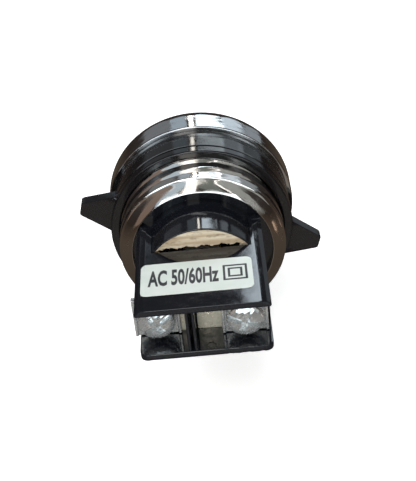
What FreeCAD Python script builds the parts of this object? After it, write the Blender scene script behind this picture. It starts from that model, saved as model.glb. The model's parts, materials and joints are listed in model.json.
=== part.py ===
import FreeCAD, Part
import math
import os

# Panel indicator lamp with a built-in transformer, for a 30.5 mm panel hole.
#
# Frame: the origin is the centre of the bezel's back face, which seats on the panel.
# +Y points out of the panel's front, along the lamp's axis, -Y points to the terminals
# behind the panel, +Z is up and X is across. All lengths are millimetres.
# A distance called "..._depth" is measured from the panel seat towards the back (-Y).

V = FreeCAD.Vector
AXIS = V(0, 1, 0)

# ---------------------------------------------------------------- driving dimensions

# Neck sleeve: the threaded metal barrel that passes through the panel
neck_radius = 15.0            # crest of the panel thread
thread_pitch = 3.0            # panel thread, travel of the ring nut per turn
thread_groove_width = 1.0     # each turn's groove, drawn as a plain ring
thread_groove_cut = 0.6
thread_runout = 1.5           # smooth length behind the last groove
neck_length = 14.7
neck_wall = 1.6               # from the thread's crest to the bore
rim_lip = 0.8                 # how far the rear rim is rolled in from the bore
rim_wall = 1.3
collar_step = 1.6             # collar for the panel gasket, beyond the crest
collar_thickness = 1.8
boss_step = 0.45              # front boss for the bezel, below the crest
boss_front = 5.0
light_lip = 1.0               # front opening, in from the bore

# Parts clamped on the neck
gasket_thickness = 2.0
gasket_overhang = 0.1         # gasket beyond the collar
washer_thickness = 0.6
nut_length = 4.9
nut_wall = 1.8                # from the thread's crest to the outside
nut_groove_from_rear = 1.6
nut_groove_width = 0.5
nut_groove_cut = 0.35
wing_reach = 5.8              # wings beyond the nut
wing_root_half_width = 3.6
wing_tip_half_width = 1.2
wing_thickness = 2.6
wing_from_rear = 0.9
wing_angle = -15.7            # degrees about the lamp's axis
wing_corner = 0.5

# Bezel ring and lens
bezel_wall = 2.95             # bezel beyond the boss
bezel_side = 4.2              # straight side of the ring
bezel_front = 8.0
bezel_slope = 3.1             # front edge, in from the side
bezel_lip_thickness = 1.1
lens_overlap = 0.2            # lens beyond the front opening
lens_wall = 1.6
lens_side = 3.6
lens_flange_inset = 0.25      # flange inside the boss
lens_flange_thickness = 1.1

# Lamp body: round moulding with flat shoulders, held in the neck by a retaining ring
body_gap = 1.9                # between the neck's rim and the round body
body_wall = 1.2
body_inside_neck = 8.2        # body in front of the neck's end
body_behind_neck = 7.9        # body behind the neck's end
flange_thickness = 2.0
retainer_thickness = 2.0
retainer_gap = 0.9            # retaining ring around the body
shoulder_reach = 0.6          # shoulders behind the neck's end

# Terminal block behind the body
block_shift = -0.3            # the block sits a little to one side of the axis
block_overhang = 0.2          # block beyond the round body, each side
block_top = 6.7
block_bottom = -3.7
bay_length = 6.6              # floor behind the wall that carries the terminals
block_wall = 1.2
edge_facets = ((1.7, 0.0), (0.7, 0.25), (0.0, 0.8))   # (in from the side, down from the top)
roof_length = 8.9             # from the body's end to that wall's rear face
bay_wall_thickness = 1.4
front_wall_thickness = 1.3
tongue_length = 1.1
tongue_corner_gap = 1.389     # tongue's upper corners in from the end board's edge
floor_corner = 1.5
rib_thickness = 0.5
rib_gap = 0.5
rib_x = -2.5
rib_setback = 0.3

# Terminals: plate, square washer, spring washer and screw on each side
screw_inset = {"left": 3.1, "right": 4.3}     # screws in from the block's sides
terminal_open = {"left": 0.0, "right": 1.0}   # how far each screw is backed out
terminal_z = 1.5
plate_thickness = 1.0
plate_top = 4.6
plate_side_inset = {"left": 0.1, "right": 0.6}
plate_rib_gap = {"left": 0.8, "right": 0.9}   # plates away from the ribs' left face
square_washer_side = 7.6
square_washer_thickness = 0.9
square_washer_lip = 0.45
spring_washer_radius = 2.75
spring_washer_thickness = 0.6
screw_radius = 1.45
screw_length = 7.2
screw_head_radius = 3.1
screw_head_height = 2.1
screw_head_edge = 0.9
screw_slot_width = 0.8
screw_slot_depth = 1.0
cross_width = 1.0
cross_length = 3.4
wall_hole_radius = 1.8
rivet_radius = 0.7
rivet_head_radius = 0.95
rivet_head_height = 0.35
rivet_tail_length = 1.0
rivet_from_screw = {"left": 3.9, "right": -6.0}
rivet_z = {"left": 3.4, "right": 1.5}
lead_radius = 0.4
lead_hole_radius = 0.8

# Rating label
label_margin = 2.1            # label in from the block's sides
label_length = 8.3
label_thickness = 0.12
label_shift = -0.3            # label to one side of the block's middle
label_behind_body = 7.6
label_corner = 1.0

# Transformer
core_corner_gap = 0.2545      # between the core's corners and the body's bore
core_height = 11.6
core_stack = 3.4
core_leg = 2.4
core_window = 3.0
coil_gap = 0.15               # between the windings and the end board
bobbin_wall = 0.4
bobbin_flange = 0.5
primary_thickness = 0.8
secondary_thickness = 0.5
tape_thickness = 0.25
end_board_thickness = 0.8
end_board_rim = 0.35          # wall of the body around the end board
end_board_recess = 0.35       # end board's rear face below the body's end

# Lamp holder and bulb
insulator_thickness = 3.0
holder_length = 7.3
holder_wall = 0.5
holder_base_inset = 2.0       # base flange in from the body's bore
holder_base_thickness = 0.6
cap_radius = 4.6
cap_length = 6.4
cap_lift = 1.0                # solder contact stands this far behind the cap
pin_radius = 0.8
pin_stand = 0.85              # pins beyond the cap
pin_from_cap_front = 2.4
push_travel = 0.8
bayonet_turn = 25.0
glass_step = 0.2              # glass below the cap's outside
glass_wall = 0.5
glass_length = 16.6
bulb_room = 0.7               # between the glass and the inside of the lens
contact_radius = 2.2
plunger_radius = 1.5
plunger_head_radius = 2.0
plunger_head_thickness = 0.6
spring_pocket_radius = 2.5
spring_wire = 0.25
spring_turns = 4

# Clearances
running_fit = 0.05            # shaft in a hole, on the radius
thread_fit = 0.06             # crest of a screwed part in its ring, on the radius
slip_gap = 0.10               # pieces that drop into each other
free_gap = 0.30               # pieces that pass without touching

# ---------------------------------------------------------------- worked-out places

neck_bore = neck_radius - neck_wall
rim_radius = neck_bore - rim_lip
collar_radius = neck_radius + collar_step
boss_radius = neck_radius - boss_step
light_bore = neck_bore - light_lip
thread_end_depth = neck_length - thread_runout
gasket_radius = collar_radius + gasket_overhang
nut_radius = neck_radius + nut_wall
wing_tip_radius = nut_radius + wing_reach
bezel_radius = boss_radius + bezel_wall
bezel_nose_radius = bezel_radius - bezel_slope
lens_radius = light_bore + lens_overlap
bezel_lip_bore = lens_radius + free_gap
lens_flange_radius = boss_radius - lens_flange_inset
lens_gasket_bore = light_bore + free_gap
body_radius = rim_radius - body_gap
body_bore = body_radius - body_wall
body_front_depth = neck_length - body_inside_neck
body_end_depth = neck_length + body_behind_neck
flange_radius = neck_bore - free_gap
retainer_bore = body_radius + retainer_gap
shoulder_end_depth = neck_length + shoulder_reach
block_half_width = body_radius + block_overhang
bay_wall_depth = body_end_depth + roof_length
block_rear_depth = bay_wall_depth + bay_length
label_width = 2 * (block_half_width - label_margin)
label_centre_x = block_shift + label_shift
label_centre_depth = body_end_depth + label_behind_body
holder_base_radius = body_bore - holder_base_inset
core_width = 2 * math.sqrt((body_bore - core_corner_gap) ** 2 - (core_height / 2) ** 2)
pin_reach = cap_radius + pin_stand
glass_radius = cap_radius - glass_step
nut_rear_depth = gasket_thickness + washer_thickness + nut_length
roof_under = block_top - block_wall
floor_top = block_bottom + block_wall
block_left = block_shift - block_half_width
block_right = block_shift + block_half_width
terminal_x = {
    "left": block_left + screw_inset["left"],
    "right": block_right - screw_inset["right"],
}
plate_edges = {
    "left": (block_left + plate_side_inset["left"], rib_x - plate_rib_gap["left"]),
    "right": (rib_x + plate_rib_gap["right"], block_right - plate_side_inset["right"]),
}
rivet_places = {side: (terminal_x[side] + rivet_from_screw[side], rivet_z[side]) for side in rivet_z}
block_front_depth = body_end_depth + slip_gap
plate_rear_depth = bay_wall_depth + plate_thickness
board_front_depth = body_end_depth - end_board_recess - end_board_thickness
tongue_front_depth = block_front_depth - tongue_length
flange_rear_depth = neck_length - rim_wall
coil_build = bobbin_wall + primary_thickness + secondary_thickness + tape_thickness + 3 * slip_gap
coil_middle_depth = board_front_depth - coil_gap - coil_build - core_stack / 2
insulator_rear_depth = coil_middle_depth - core_stack / 2 - coil_build - slip_gap
insulator_front_depth = insulator_rear_depth - insulator_thickness
contact_depth = insulator_front_depth
cap_rear_depth = contact_depth - cap_lift
cap_front_depth = cap_rear_depth - cap_length
lens_front = glass_length - cap_front_depth + bulb_room + lens_wall
tongue_half_width = math.sqrt((body_radius - end_board_rim) ** 2 - block_top ** 2) - tongue_corner_gap
lens_gasket_thickness = bezel_front - bezel_lip_thickness - lens_flange_thickness - boss_front


# ---------------------------------------------------------------- shape helpers

def turned_edges(edges):
    """Solid turned about the lamp's axis from a closed chain of edges in the XY plane."""
    face = Part.Face(Part.Wire(edges))
    solid = face.revolve(V(0, 0, 0), AXIS, 360)
    if solid.Volume < 0:
        solid.reverse()
    return solid


def turned(outline):
    """Solid turned about the lamp's axis from (y, radius) points."""
    return turned_edges([line(a, b) for a, b in zip(outline, outline[1:] + outline[:1])])


def rod(y_low, y_high, radius, x=0.0, z=0.0):
    """Round bar along Y."""
    return Part.makeCylinder(radius, y_high - y_low, V(x, y_low, z), AXIS)


def ring(y_low, y_high, outer, inner, x=0.0, z=0.0):
    """Tube along Y."""
    return rod(y_low, y_high, outer, x, z).cut(rod(y_low - 1, y_high + 1, inner, x, z))


def slab(x_low, x_high, y_low, y_high, z_low, z_high):
    """Box between two corners."""
    return Part.makeBox(x_high - x_low, y_high - y_low, z_high - z_low, V(x_low, y_low, z_low))


def prism(outline, y_low, y_high):
    """Bar along Y whose section is a polygon of (x, z) points."""
    points = [V(x, y_low, z) for x, z in outline]
    face = Part.Face(Part.makePolygon(points + [points[0]]))
    return face.extrude(V(0, y_high - y_low, 0))


def line(start, end):
    """Straight edge between two (y, radius) points in the turning plane."""
    return Part.LineSegment(V(start[1], start[0], 0), V(end[1], end[0], 0)).toShape()


def arc(start, middle, end):
    """Arc through three (y, radius) points in the turning plane."""
    points = [V(radius, y, 0) for y, radius in (start, middle, end)]
    return Part.Arc(*points).toShape()


def cap_arc(centre, sphere, edge_radius):
    """Arc of a sphere centred on the axis, from a rim of edge_radius to the axis."""
    opening = math.asin(edge_radius / sphere)
    rim = (centre + sphere * math.cos(opening), edge_radius)
    middle = (centre + sphere * math.cos(opening / 2), sphere * math.sin(opening / 2))
    return arc(rim, middle, (centre + sphere, 0.0))


def round_upright_edges(shape, radius, test):
    """Fillet the edges parallel to Z whose middle passes the test."""
    chosen = []
    for edge in shape.Edges:
        if len(edge.Vertexes) != 2:
            continue
        run = edge.Vertexes[1].Point - edge.Vertexes[0].Point
        middle = (edge.Vertexes[1].Point + edge.Vertexes[0].Point) * 0.5
        if abs(run.x) < 1e-6 and abs(run.y) < 1e-6 and test(middle):
            chosen.append(edge)
    return shape.makeFillet(radius, chosen)


def block_section():
    """Outline (x, z) of the terminal block: a box with two facets along each upper edge."""
    left_edge = [(block_left + inward, block_top - down) for inward, down in edge_facets]
    right_edge = [(block_right - inward, block_top - down) for inward, down in edge_facets]
    return left_edge + [(block_left, block_bottom), (block_right, block_bottom)] + right_edge[::-1]


# ---------------------------------------------------------------- neck and its rings

def neck_sleeve():
    """Turned sleeve: front boss, collar, panel thread and a rolled-in rear rim.

    The thread is a row of ring grooves one pitch apart, with a crest at its rear end.
    """
    shoulder = (-thread_end_depth, neck_radius)
    step = (-thread_end_depth - 0.2, neck_radius - 0.35)
    rim = (-neck_length, rim_radius)
    bulge = (-neck_length + 0.32, (step[1] + rim[1]) / 2 + 0.25)
    inner_end = -neck_length + rim_wall
    chain = [
        (boss_front, light_bore),
        (boss_front, boss_radius),
        (collar_thickness, boss_radius),
        (collar_thickness, collar_radius),
        (0.0, collar_radius),
        (0.0, neck_radius),
        shoulder,
        step,
    ]
    back = [
        rim,
        (inner_end, rim_radius),
        (inner_end, neck_bore),
        (0.0, neck_bore),
        (0.0, light_bore),
        (boss_front, light_bore),
    ]
    edges = [line(a, b) for a, b in zip(chain, chain[1:])]
    edges.append(arc(step, bulge, rim))
    edges += [line(a, b) for a, b in zip(back, back[1:])]
    sleeve = turned_edges(edges)
    crest = thread_pitch - thread_groove_width
    groove_rear = thread_end_depth - crest
    while groove_rear - thread_groove_width > gasket_thickness:
        sleeve = sleeve.cut(ring(-groove_rear, -groove_rear + thread_groove_width,
                                 neck_radius + 1, neck_radius - thread_groove_cut))
        groove_rear -= thread_pitch
    return sleeve


def panel_gasket():
    """Flat rubber ring between the collar and the panel."""
    return ring(-gasket_thickness, 0.0, gasket_radius, neck_radius + slip_gap)


def thrust_washer():
    """Thin ring that slides on the thread and keeps the nut off the panel."""
    rear = gasket_thickness + washer_thickness
    return ring(-rear, -gasket_thickness, gasket_radius, neck_radius + running_fit)


def wing():
    """Tapered finger wing, pointing along +X before it is turned."""
    root = nut_radius - 0.8
    outline = [
        (root, -wing_root_half_width),
        (wing_tip_radius, -wing_tip_half_width),
        (wing_tip_radius, wing_tip_half_width),
        (root, wing_root_half_width),
    ]
    rear = -nut_rear_depth + wing_from_rear
    blank = prism(outline, rear, rear + wing_thickness)
    tip_edges = []
    for edge in blank.Edges:
        along_y = abs(edge.Vertexes[0].Point.y - edge.Vertexes[1].Point.y) > wing_thickness / 2
        if along_y and edge.Vertexes[0].Point.x > root + 1:
            tip_edges.append(edge)
    return blank.makeFillet(wing_corner, tip_edges)


def ring_nut():
    """Winged plastic nut with a moulded groove near its rear edge."""
    rear = -nut_rear_depth
    groove = rear + nut_groove_from_rear
    bore = neck_radius + thread_fit
    soft = 0.3
    nut = turned([
        (rear, bore),
        (rear, nut_radius - soft),
        (rear + soft, nut_radius),
        (groove, nut_radius),
        (groove, nut_radius - nut_groove_cut),
        (groove + nut_groove_width, nut_radius - nut_groove_cut),
        (groove + nut_groove_width, nut_radius),
        (rear + nut_length, nut_radius),
        (rear + nut_length, bore),
    ])
    cutter = rod(rear - 1, rear + nut_length + 1, nut_radius - nut_groove_cut - 0.1)
    for turn in (0.0, 180.0):
        piece = wing().cut(cutter)
        piece.rotate(V(0, 0, 0), AXIS, turn - wing_angle)
        nut = nut.fuse(piece)
    return nut.removeSplitter()


# ---------------------------------------------------------------- bezel and lens

def bezel_ring():
    """Screwed ring: straight side, curved front and a lip that holds the lens."""
    lip_back = bezel_front - bezel_lip_thickness
    side_end = (bezel_side, bezel_radius)
    nose = (bezel_front, bezel_nose_radius)
    quarter = math.sqrt(0.5)
    bulge = (bezel_side + (bezel_front - bezel_side) * quarter,
             bezel_nose_radius + (bezel_radius - bezel_nose_radius) * quarter)
    seat_bore = collar_radius + running_fit
    thread_bore = boss_radius + thread_fit
    chain = [
        nose,
        (bezel_front, bezel_lip_bore + 0.4),
        (bezel_front - 0.4, bezel_lip_bore),
        (lip_back, bezel_lip_bore),
        (lip_back, thread_bore),
        (collar_thickness + slip_gap, thread_bore),
        (collar_thickness + slip_gap, seat_bore),
        (0.0, seat_bore),
        (0.0, bezel_radius - 0.3),
        (0.3, bezel_radius),
        side_end,
    ]
    edges = [line(a, b) for a, b in zip(chain, chain[1:])]
    edges.append(arc(side_end, bulge, nose))
    return turned_edges(edges)


def lens():
    """Domed translucent cap with a clamping flange."""
    flange_front = bezel_front - bezel_lip_thickness
    flange_back = flange_front - lens_flange_thickness
    shoulder = flange_front + lens_side
    rise = lens_front - shoulder
    inner = lens_radius - lens_wall
    dome_radius = (lens_radius ** 2 + rise ** 2) / (2 * rise)
    centre = lens_front - dome_radius
    outer_dome = cap_arc(centre, dome_radius, lens_radius)
    inner_dome = cap_arc(centre, dome_radius - lens_wall, inner)
    inner_shoulder = centre + math.sqrt((dome_radius - lens_wall) ** 2 - inner ** 2)
    edges = [
        line((flange_back, inner), (flange_back, lens_flange_radius)),
        line((flange_back, lens_flange_radius), (flange_front, lens_flange_radius)),
        line((flange_front, lens_flange_radius), (flange_front, lens_radius)),
        line((flange_front, lens_radius), (shoulder, lens_radius)),
        outer_dome,
        line((lens_front, 0.0), (lens_front - lens_wall, 0.0)),
        inner_dome,
        line((inner_shoulder, inner), (flange_back, inner)),
    ]
    return turned_edges(edges)


def lens_gasket():
    """Rubber ring between the lens flange and the sleeve's front edge."""
    return ring(boss_front, boss_front + lens_gasket_thickness, lens_flange_radius, lens_gasket_bore)


# ---------------------------------------------------------------- lamp body

def lamp_body():
    """Round moulding with a clamping flange, flat shoulders and an open rear end."""
    round_part = rod(-body_end_depth, -body_front_depth, body_radius)
    flange = rod(-flange_rear_depth, -flange_rear_depth + flange_thickness, flange_radius)
    shoulders = prism(block_section(), -shoulder_end_depth, -flange_rear_depth)
    shoulders = shoulders.common(rod(-shoulder_end_depth, 0, rim_radius - slip_gap))
    bore = rod(-body_end_depth - 1, -body_front_depth + 1, body_bore)
    seat = rod(-body_end_depth - 1, -board_front_depth, body_radius - end_board_rim)
    body = round_part.fuse([flange, shoulders]).removeSplitter()
    return body.cut(bore).cut(seat)


def retaining_ring():
    """Threaded brass ring that clamps the body's flange in the neck."""
    rear = -flange_rear_depth + flange_thickness
    return ring(rear, rear + retainer_thickness, neck_bore - running_fit, retainer_bore)


def end_board():
    """Pressed board that closes the body behind the transformer, slotted for the block."""
    front = -board_front_depth
    board = rod(front - end_board_thickness, front, body_radius - end_board_rim - slip_gap)
    half_window = tongue_half_width + free_gap
    window = slab(block_shift - half_window, block_shift + half_window,
                  front - end_board_thickness - 1, front + 1,
                  block_bottom + block_wall - free_gap, block_top + free_gap)
    board = board.cut(window)
    for x, z in rivet_places.values():
        board = board.cut(rod(front - end_board_thickness - 1, front + 1, lead_hole_radius, x, z))
    return board


# ---------------------------------------------------------------- terminal block

def terminal_block():
    """Moulding with roof, arms along the body, a closed chamber and an open terminal bay."""
    rear = -block_rear_depth
    block = prism(block_section(), rear, -shoulder_end_depth)
    body_room = rod(-block_front_depth, 0, body_radius + running_fit)
    chamber = slab(block_left + block_wall, block_right - block_wall,
                   -bay_wall_depth + bay_wall_thickness, -block_front_depth - front_wall_thickness,
                   floor_top - 0.01, roof_under)
    bay = slab(block_left - 1, block_right + 1, rear - 1, -bay_wall_depth, floor_top, roof_under)
    below = slab(block_left - 1, block_right + 1, rear - 1, -block_front_depth + slip_gap,
                 block_bottom - 1, floor_top)
    block = block.cut(body_room).cut(chamber).cut(bay).cut(below)
    tongue = slab(block_shift - tongue_half_width, block_shift + tongue_half_width,
                  -block_front_depth - 0.5, -tongue_front_depth, floor_top, roof_under)
    block = block.fuse(tongue)
    for side in (-1, 1):
        x_mid = rib_x + side * (rib_thickness + rib_gap) / 2
        rib = slab(x_mid - rib_thickness / 2, x_mid + rib_thickness / 2, rear + rib_setback,
                   -bay_wall_depth + 0.5, floor_top, roof_under + 0.5)
        block = block.fuse(rib)
    for side, x_screw in terminal_x.items():
        block = block.cut(rod(-bay_wall_depth - 1, -bay_wall_depth + bay_wall_thickness + 1,
                              wall_hole_radius, x_screw, terminal_z))
        x_rivet, z_rivet = rivet_places[side]
        block = block.cut(rod(-bay_wall_depth - 1, -bay_wall_depth + bay_wall_thickness + 1,
                              rivet_radius + slip_gap, x_rivet, z_rivet))
        block = block.cut(rod(-block_front_depth - front_wall_thickness - 1,
                              -tongue_front_depth + 1, lead_hole_radius, x_rivet, z_rivet))
    return block.removeSplitter()


def floor_plate():
    """Bottom plate that closes the chamber and carries the terminals' weight."""
    plate = slab(block_left, block_right, -block_rear_depth, -block_front_depth,
                 block_bottom, floor_top)
    return round_upright_edges(plate, floor_corner, lambda p: p.y < -block_rear_depth + 0.1)


def terminal_plate(side):
    """Flat contact plate behind one screw, with a tapped hole and a rivet hole."""
    low, high = plate_edges[side]
    plate = slab(low, high, -plate_rear_depth, -bay_wall_depth, floor_top, plate_top)
    x_rivet, z_rivet = rivet_places[side]
    hole = rod(-plate_rear_depth - 1, -bay_wall_depth + 1, screw_radius + running_fit,
               terminal_x[side], terminal_z)
    rivet_hole = rod(-plate_rear_depth - 1, -bay_wall_depth + 1, rivet_radius + slip_gap,
                     x_rivet, z_rivet)
    return plate.cut(hole).cut(rivet_hole)


def terminal_rivets():
    """One rivet per plate: a domed eyelet on the right, a flush pin on the left."""
    tail_end = -bay_wall_depth + bay_wall_thickness + rivet_tail_length
    bay_face = -bay_wall_depth + bay_wall_thickness
    pins = []
    for side, (x, z) in rivet_places.items():
        pin = rod(-plate_rear_depth, tail_end, rivet_radius, x, z)
        tail = Part.makeCone(rivet_head_radius, rivet_radius, rivet_tail_length / 2,
                             V(x, bay_face, z), AXIS)
        pin = pin.fuse(tail)
        if side == "right":
            head = Part.makeCone(rivet_head_radius * 0.7, rivet_head_radius, rivet_head_height,
                                 V(x, -plate_rear_depth - rivet_head_height, z), AXIS)
            dimple = rod(-plate_rear_depth - 1, -plate_rear_depth + 0.3, rivet_radius * 0.6, x, z)
            pin = pin.fuse(head).cut(dimple)
        pins.append(pin)
    return Part.makeCompound(pins)


def square_washer(side):
    """Captive square washer with a turned-up lip on each side."""
    front = -plate_rear_depth - terminal_open[side]
    half = square_washer_side / 2
    x = terminal_x[side]
    rear = front - square_washer_thickness
    washer = slab(x - half, x + half, rear, front, terminal_z - half, terminal_z + half)
    recess = slab(x - half + square_washer_lip, x + half - square_washer_lip, rear - 1,
                  rear + square_washer_thickness / 3, terminal_z - half - 1, terminal_z + half + 1)
    hole = rod(rear - 1, front + 1, screw_radius + slip_gap, x, terminal_z)
    return washer.cut(recess).cut(hole)


def spring_washer(side):
    """Split lock washer under the screw's head."""
    front = -plate_rear_depth - terminal_open[side] - square_washer_thickness * 2 / 3
    x = terminal_x[side]
    rear = front - spring_washer_thickness
    washer = ring(rear, front, spring_washer_radius, screw_radius + slip_gap, x, terminal_z)
    split = slab(x + screw_radius, x + spring_washer_radius + 1, rear - 1, front + 1,
                 terminal_z - 0.2, terminal_z + 0.2)
    return washer.cut(split)


def terminal_screw(side):
    """Pan-head screw with a slot and a cross recess."""
    seat = (-plate_rear_depth - terminal_open[side] - square_washer_thickness * 2 / 3
            - spring_washer_thickness)
    x = terminal_x[side]
    top = seat - screw_head_height
    edge = seat - screw_head_edge
    crown = (seat - screw_head_height * 0.82, screw_head_radius * 0.72)
    outline = [
        line((top, 0.0), (seat + screw_length, 0.0)),
        line((seat + screw_length, 0.0), (seat + screw_length, screw_radius - 0.4)),
        line((seat + screw_length, screw_radius - 0.4), (seat + screw_length - 0.4, screw_radius)),
        line((seat + screw_length - 0.4, screw_radius), (seat, screw_radius)),
        line((seat, screw_radius), (seat, screw_head_radius)),
        line((seat, screw_head_radius), (edge, screw_head_radius)),
        arc((edge, screw_head_radius), crown, (top, 0.0)),
    ]
    screw = turned_edges(outline)
    slot = slab(-screw_head_radius - 1, screw_head_radius + 1, top - 1, top + screw_slot_depth,
                -screw_slot_width / 2, screw_slot_width / 2)
    cross = slab(-cross_width / 2, cross_width / 2, top - 1, top + screw_slot_depth,
                 -cross_length / 2, cross_length / 2)
    screw = screw.cut(slot.fuse(cross))
    screw.rotate(V(0, 0, 0), AXIS, {"left": 35.0, "right": -20.0}[side])
    screw.translate(V(x, 0, terminal_z))
    return screw


def rating_label():
    """Thin label with rounded corners on the roof."""
    x_low = label_centre_x - label_width / 2
    y_low = -label_centre_depth - label_length / 2
    label = slab(x_low, x_low + label_width, y_low, y_low + label_length,
                 block_top, block_top + label_thickness)
    return round_upright_edges(label, label_corner, lambda p: True)


def lead_wires():
    """Two insulated leads from the transformer to the rivets' tails."""
    start = -coil_middle_depth - core_stack / 2 - coil_build - slip_gap / 2
    end = -bay_wall_depth + bay_wall_thickness + rivet_tail_length + slip_gap
    wires = []
    for x, z in rivet_places.values():
        wires.append(rod(end, start, lead_radius, x, z))
    return Part.makeCompound(wires)


# ---------------------------------------------------------------- transformer

def coil_block(clear, thickness, half_height):
    """Rectangular tube wound round the core's middle leg, along Z."""
    half_x = core_leg / 2 + clear
    half_y = core_stack / 2 + clear
    y_mid = -coil_middle_depth
    outer = slab(-half_x - thickness, half_x + thickness, y_mid - half_y - thickness,
                 y_mid + half_y + thickness, -half_height, half_height)
    inner = slab(-half_x, half_x, y_mid - half_y, y_mid + half_y, -half_height - 1, half_height + 1)
    return outer.cut(inner)


def window_half_height():
    """Half the height of the core's windows."""
    return core_height / 2 - core_leg / 2


def transformer_core():
    """Laminated frame with two windows either side of the middle leg."""
    y_low = -coil_middle_depth - core_stack / 2
    frame = slab(-core_width / 2, core_width / 2, y_low, y_low + core_stack,
                 -core_height / 2, core_height / 2)
    for side in (-1, 1):
        x_mid = side * (core_leg / 2 + core_window / 2)
        window = slab(x_mid - core_window / 2, x_mid + core_window / 2, y_low - 1,
                      y_low + core_stack + 1, -window_half_height(), window_half_height())
        frame = frame.cut(window)
    return frame


def coil_bobbin():
    """Moulded bobbin: a square tube with a flange at each end."""
    half = window_half_height() - slip_gap
    tube = coil_block(slip_gap, bobbin_wall, half)
    reach = primary_thickness + secondary_thickness + bobbin_wall
    flange_top = coil_block(slip_gap, reach, half)
    middle = slab(-core_width, core_width, -2 * coil_middle_depth, 0,
                  -half + bobbin_flange, half - bobbin_flange)
    return tube.fuse(flange_top.cut(middle)).removeSplitter()


def winding(clear, thickness):
    """One winding, between the bobbin's flanges."""
    half = window_half_height() - slip_gap - bobbin_flange - slip_gap
    return coil_block(clear, thickness, half)


def primary_winding():
    return winding(slip_gap + bobbin_wall + 0.02, primary_thickness - 0.04)


def secondary_winding():
    return winding(slip_gap + bobbin_wall + primary_thickness + 0.02, secondary_thickness - 0.04)


def coil_tape():
    clear = slip_gap + bobbin_wall + primary_thickness + secondary_thickness + 0.02
    return winding(clear, tape_thickness)


# ---------------------------------------------------------------- lamp holder and bulb

def holder_insulator():
    """Fibre disc behind the lamp holder, with a pocket for the contact spring."""
    disc = rod(-insulator_rear_depth, -insulator_front_depth, body_bore - slip_gap)
    pocket = rod(-insulator_rear_depth + 0.6, -insulator_front_depth + 1, spring_pocket_radius)
    return disc.cut(pocket)


def bulb_holder():
    """Brass bayonet shell with a base flange and two side slots for the bulb's pins."""
    bore = cap_radius + slip_gap
    base = ring(-insulator_front_depth, -insulator_front_depth + holder_base_thickness,
                holder_base_radius, bore)
    front = -insulator_front_depth + holder_length
    shell = ring(-insulator_front_depth, front, bore + holder_wall, bore)
    shell = shell.fuse(base).removeSplitter()
    reach = pin_radius + slip_gap
    pin_y = -cap_front_depth - pin_from_cap_front
    leg_low = pin_y - push_travel - reach
    for start in (0.0, 180.0):
        half_turn = math.degrees(math.asin(reach / cap_radius))
        keep = sector(leg_low, pin_y + reach, -half_turn, bayonet_turn + half_turn)
        entry = sector(leg_low, front + 1, bayonet_turn - half_turn, bayonet_turn + half_turn)
        cutter = keep.fuse(entry)
        cutter.rotate(V(0, 0, 0), AXIS, start)
        shell = shell.cut(cutter)
    return shell


def sector(y_low, y_high, start, end):
    """Wedge about the axis between two angles, for cutting slots in a tube."""
    wedge = Part.makeCylinder(pin_reach + 2, y_high - y_low, V(0, y_low, 0), AXIS, end - start)
    first = wedge.CenterOfMass
    present = math.degrees(math.atan2(-first.z, first.x))
    wedge.rotate(V(0, 0, 0), AXIS, (start + end) / 2 - present)
    return wedge


def bulb_cap():
    """Bayonet cap with its two pins."""
    cap = rod(-cap_rear_depth, -cap_front_depth, cap_radius)
    hollow = rod(-cap_rear_depth + 1.0, -cap_front_depth + 1, cap_radius - 0.35)
    cap = cap.cut(hollow)
    pin_y = -cap_front_depth - pin_from_cap_front
    for side in (-1, 1):
        pin = Part.makeCylinder(pin_radius, pin_reach - cap_radius + 0.3,
                                V(side * (cap_radius - 0.3), pin_y, 0), V(side, 0, 0))
        cap = cap.fuse(pin)
    return cap.removeSplitter()


def bulb_contact():
    """Soldered centre contact of the bulb."""
    return turned([
        (-contact_depth, 0.0),
        (-contact_depth, contact_radius - 0.5),
        (-cap_rear_depth - 0.02, contact_radius),
        (-cap_rear_depth - 0.02, 0.0),
    ])


def bulb_glass():
    """Glass envelope with a round end."""
    back = -cap_front_depth + 0.02
    front = back + glass_length
    shoulder = front - glass_radius
    inner = glass_radius - glass_wall
    outer_end = cap_arc(shoulder, glass_radius, glass_radius)
    inner_end = cap_arc(shoulder, inner, inner)
    edges = [
        line((back, inner), (back, glass_radius)),
        line((back, glass_radius), (shoulder, glass_radius)),
        outer_end,
        line((front, 0.0), (front - glass_wall, 0.0)),
        inner_end,
        line((shoulder, inner), (back, inner)),
    ]
    return turned_edges(edges)


def bulb_filament():
    """Glass bead stem, two support wires and the filament bar."""
    back = -cap_rear_depth + 1.05
    stem_end = -cap_front_depth + 4.0
    stem = rod(back, stem_end, 1.2)
    tip = stem_end + 3.5
    parts = [stem]
    for side in (-1, 1):
        parts.append(rod(stem_end - 0.5, tip, 0.2, side * 0.9, 0))
    parts.append(Part.makeCylinder(0.25, 1.8, V(-0.9, tip - 0.2, 0), V(1, 0, 0)))
    body = parts[0]
    for extra in parts[1:]:
        body = body.fuse(extra)
    return body.removeSplitter()


def contact_plunger():
    """Sprung centre contact that the bulb presses on."""
    head_front = -contact_depth
    return turned([
        (head_front, 0.0),
        (head_front, plunger_head_radius),
        (head_front - plunger_head_thickness, plunger_head_radius),
        (head_front - plunger_head_thickness, plunger_radius * 0.5),
        (head_front - plunger_head_thickness - 0.7, plunger_radius * 0.5),
        (head_front - plunger_head_thickness - 0.7, 0.0),
    ])


def contact_spring():
    """Small coil spring, as a stack of rings that touch at rest spacing."""
    low = -insulator_rear_depth + 0.6 + spring_wire
    high = -contact_depth - plunger_head_thickness - spring_wire
    radius = plunger_head_radius - spring_wire - 0.05
    coils = []
    for index in range(spring_turns):
        y = low + (high - low) * index / (spring_turns - 1)
        coils.append(Part.makeTorus(radius, spring_wire, V(0, y, 0), AXIS))
    return Part.makeCompound(coils)


# ---------------------------------------------------------------- write every piece

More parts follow.
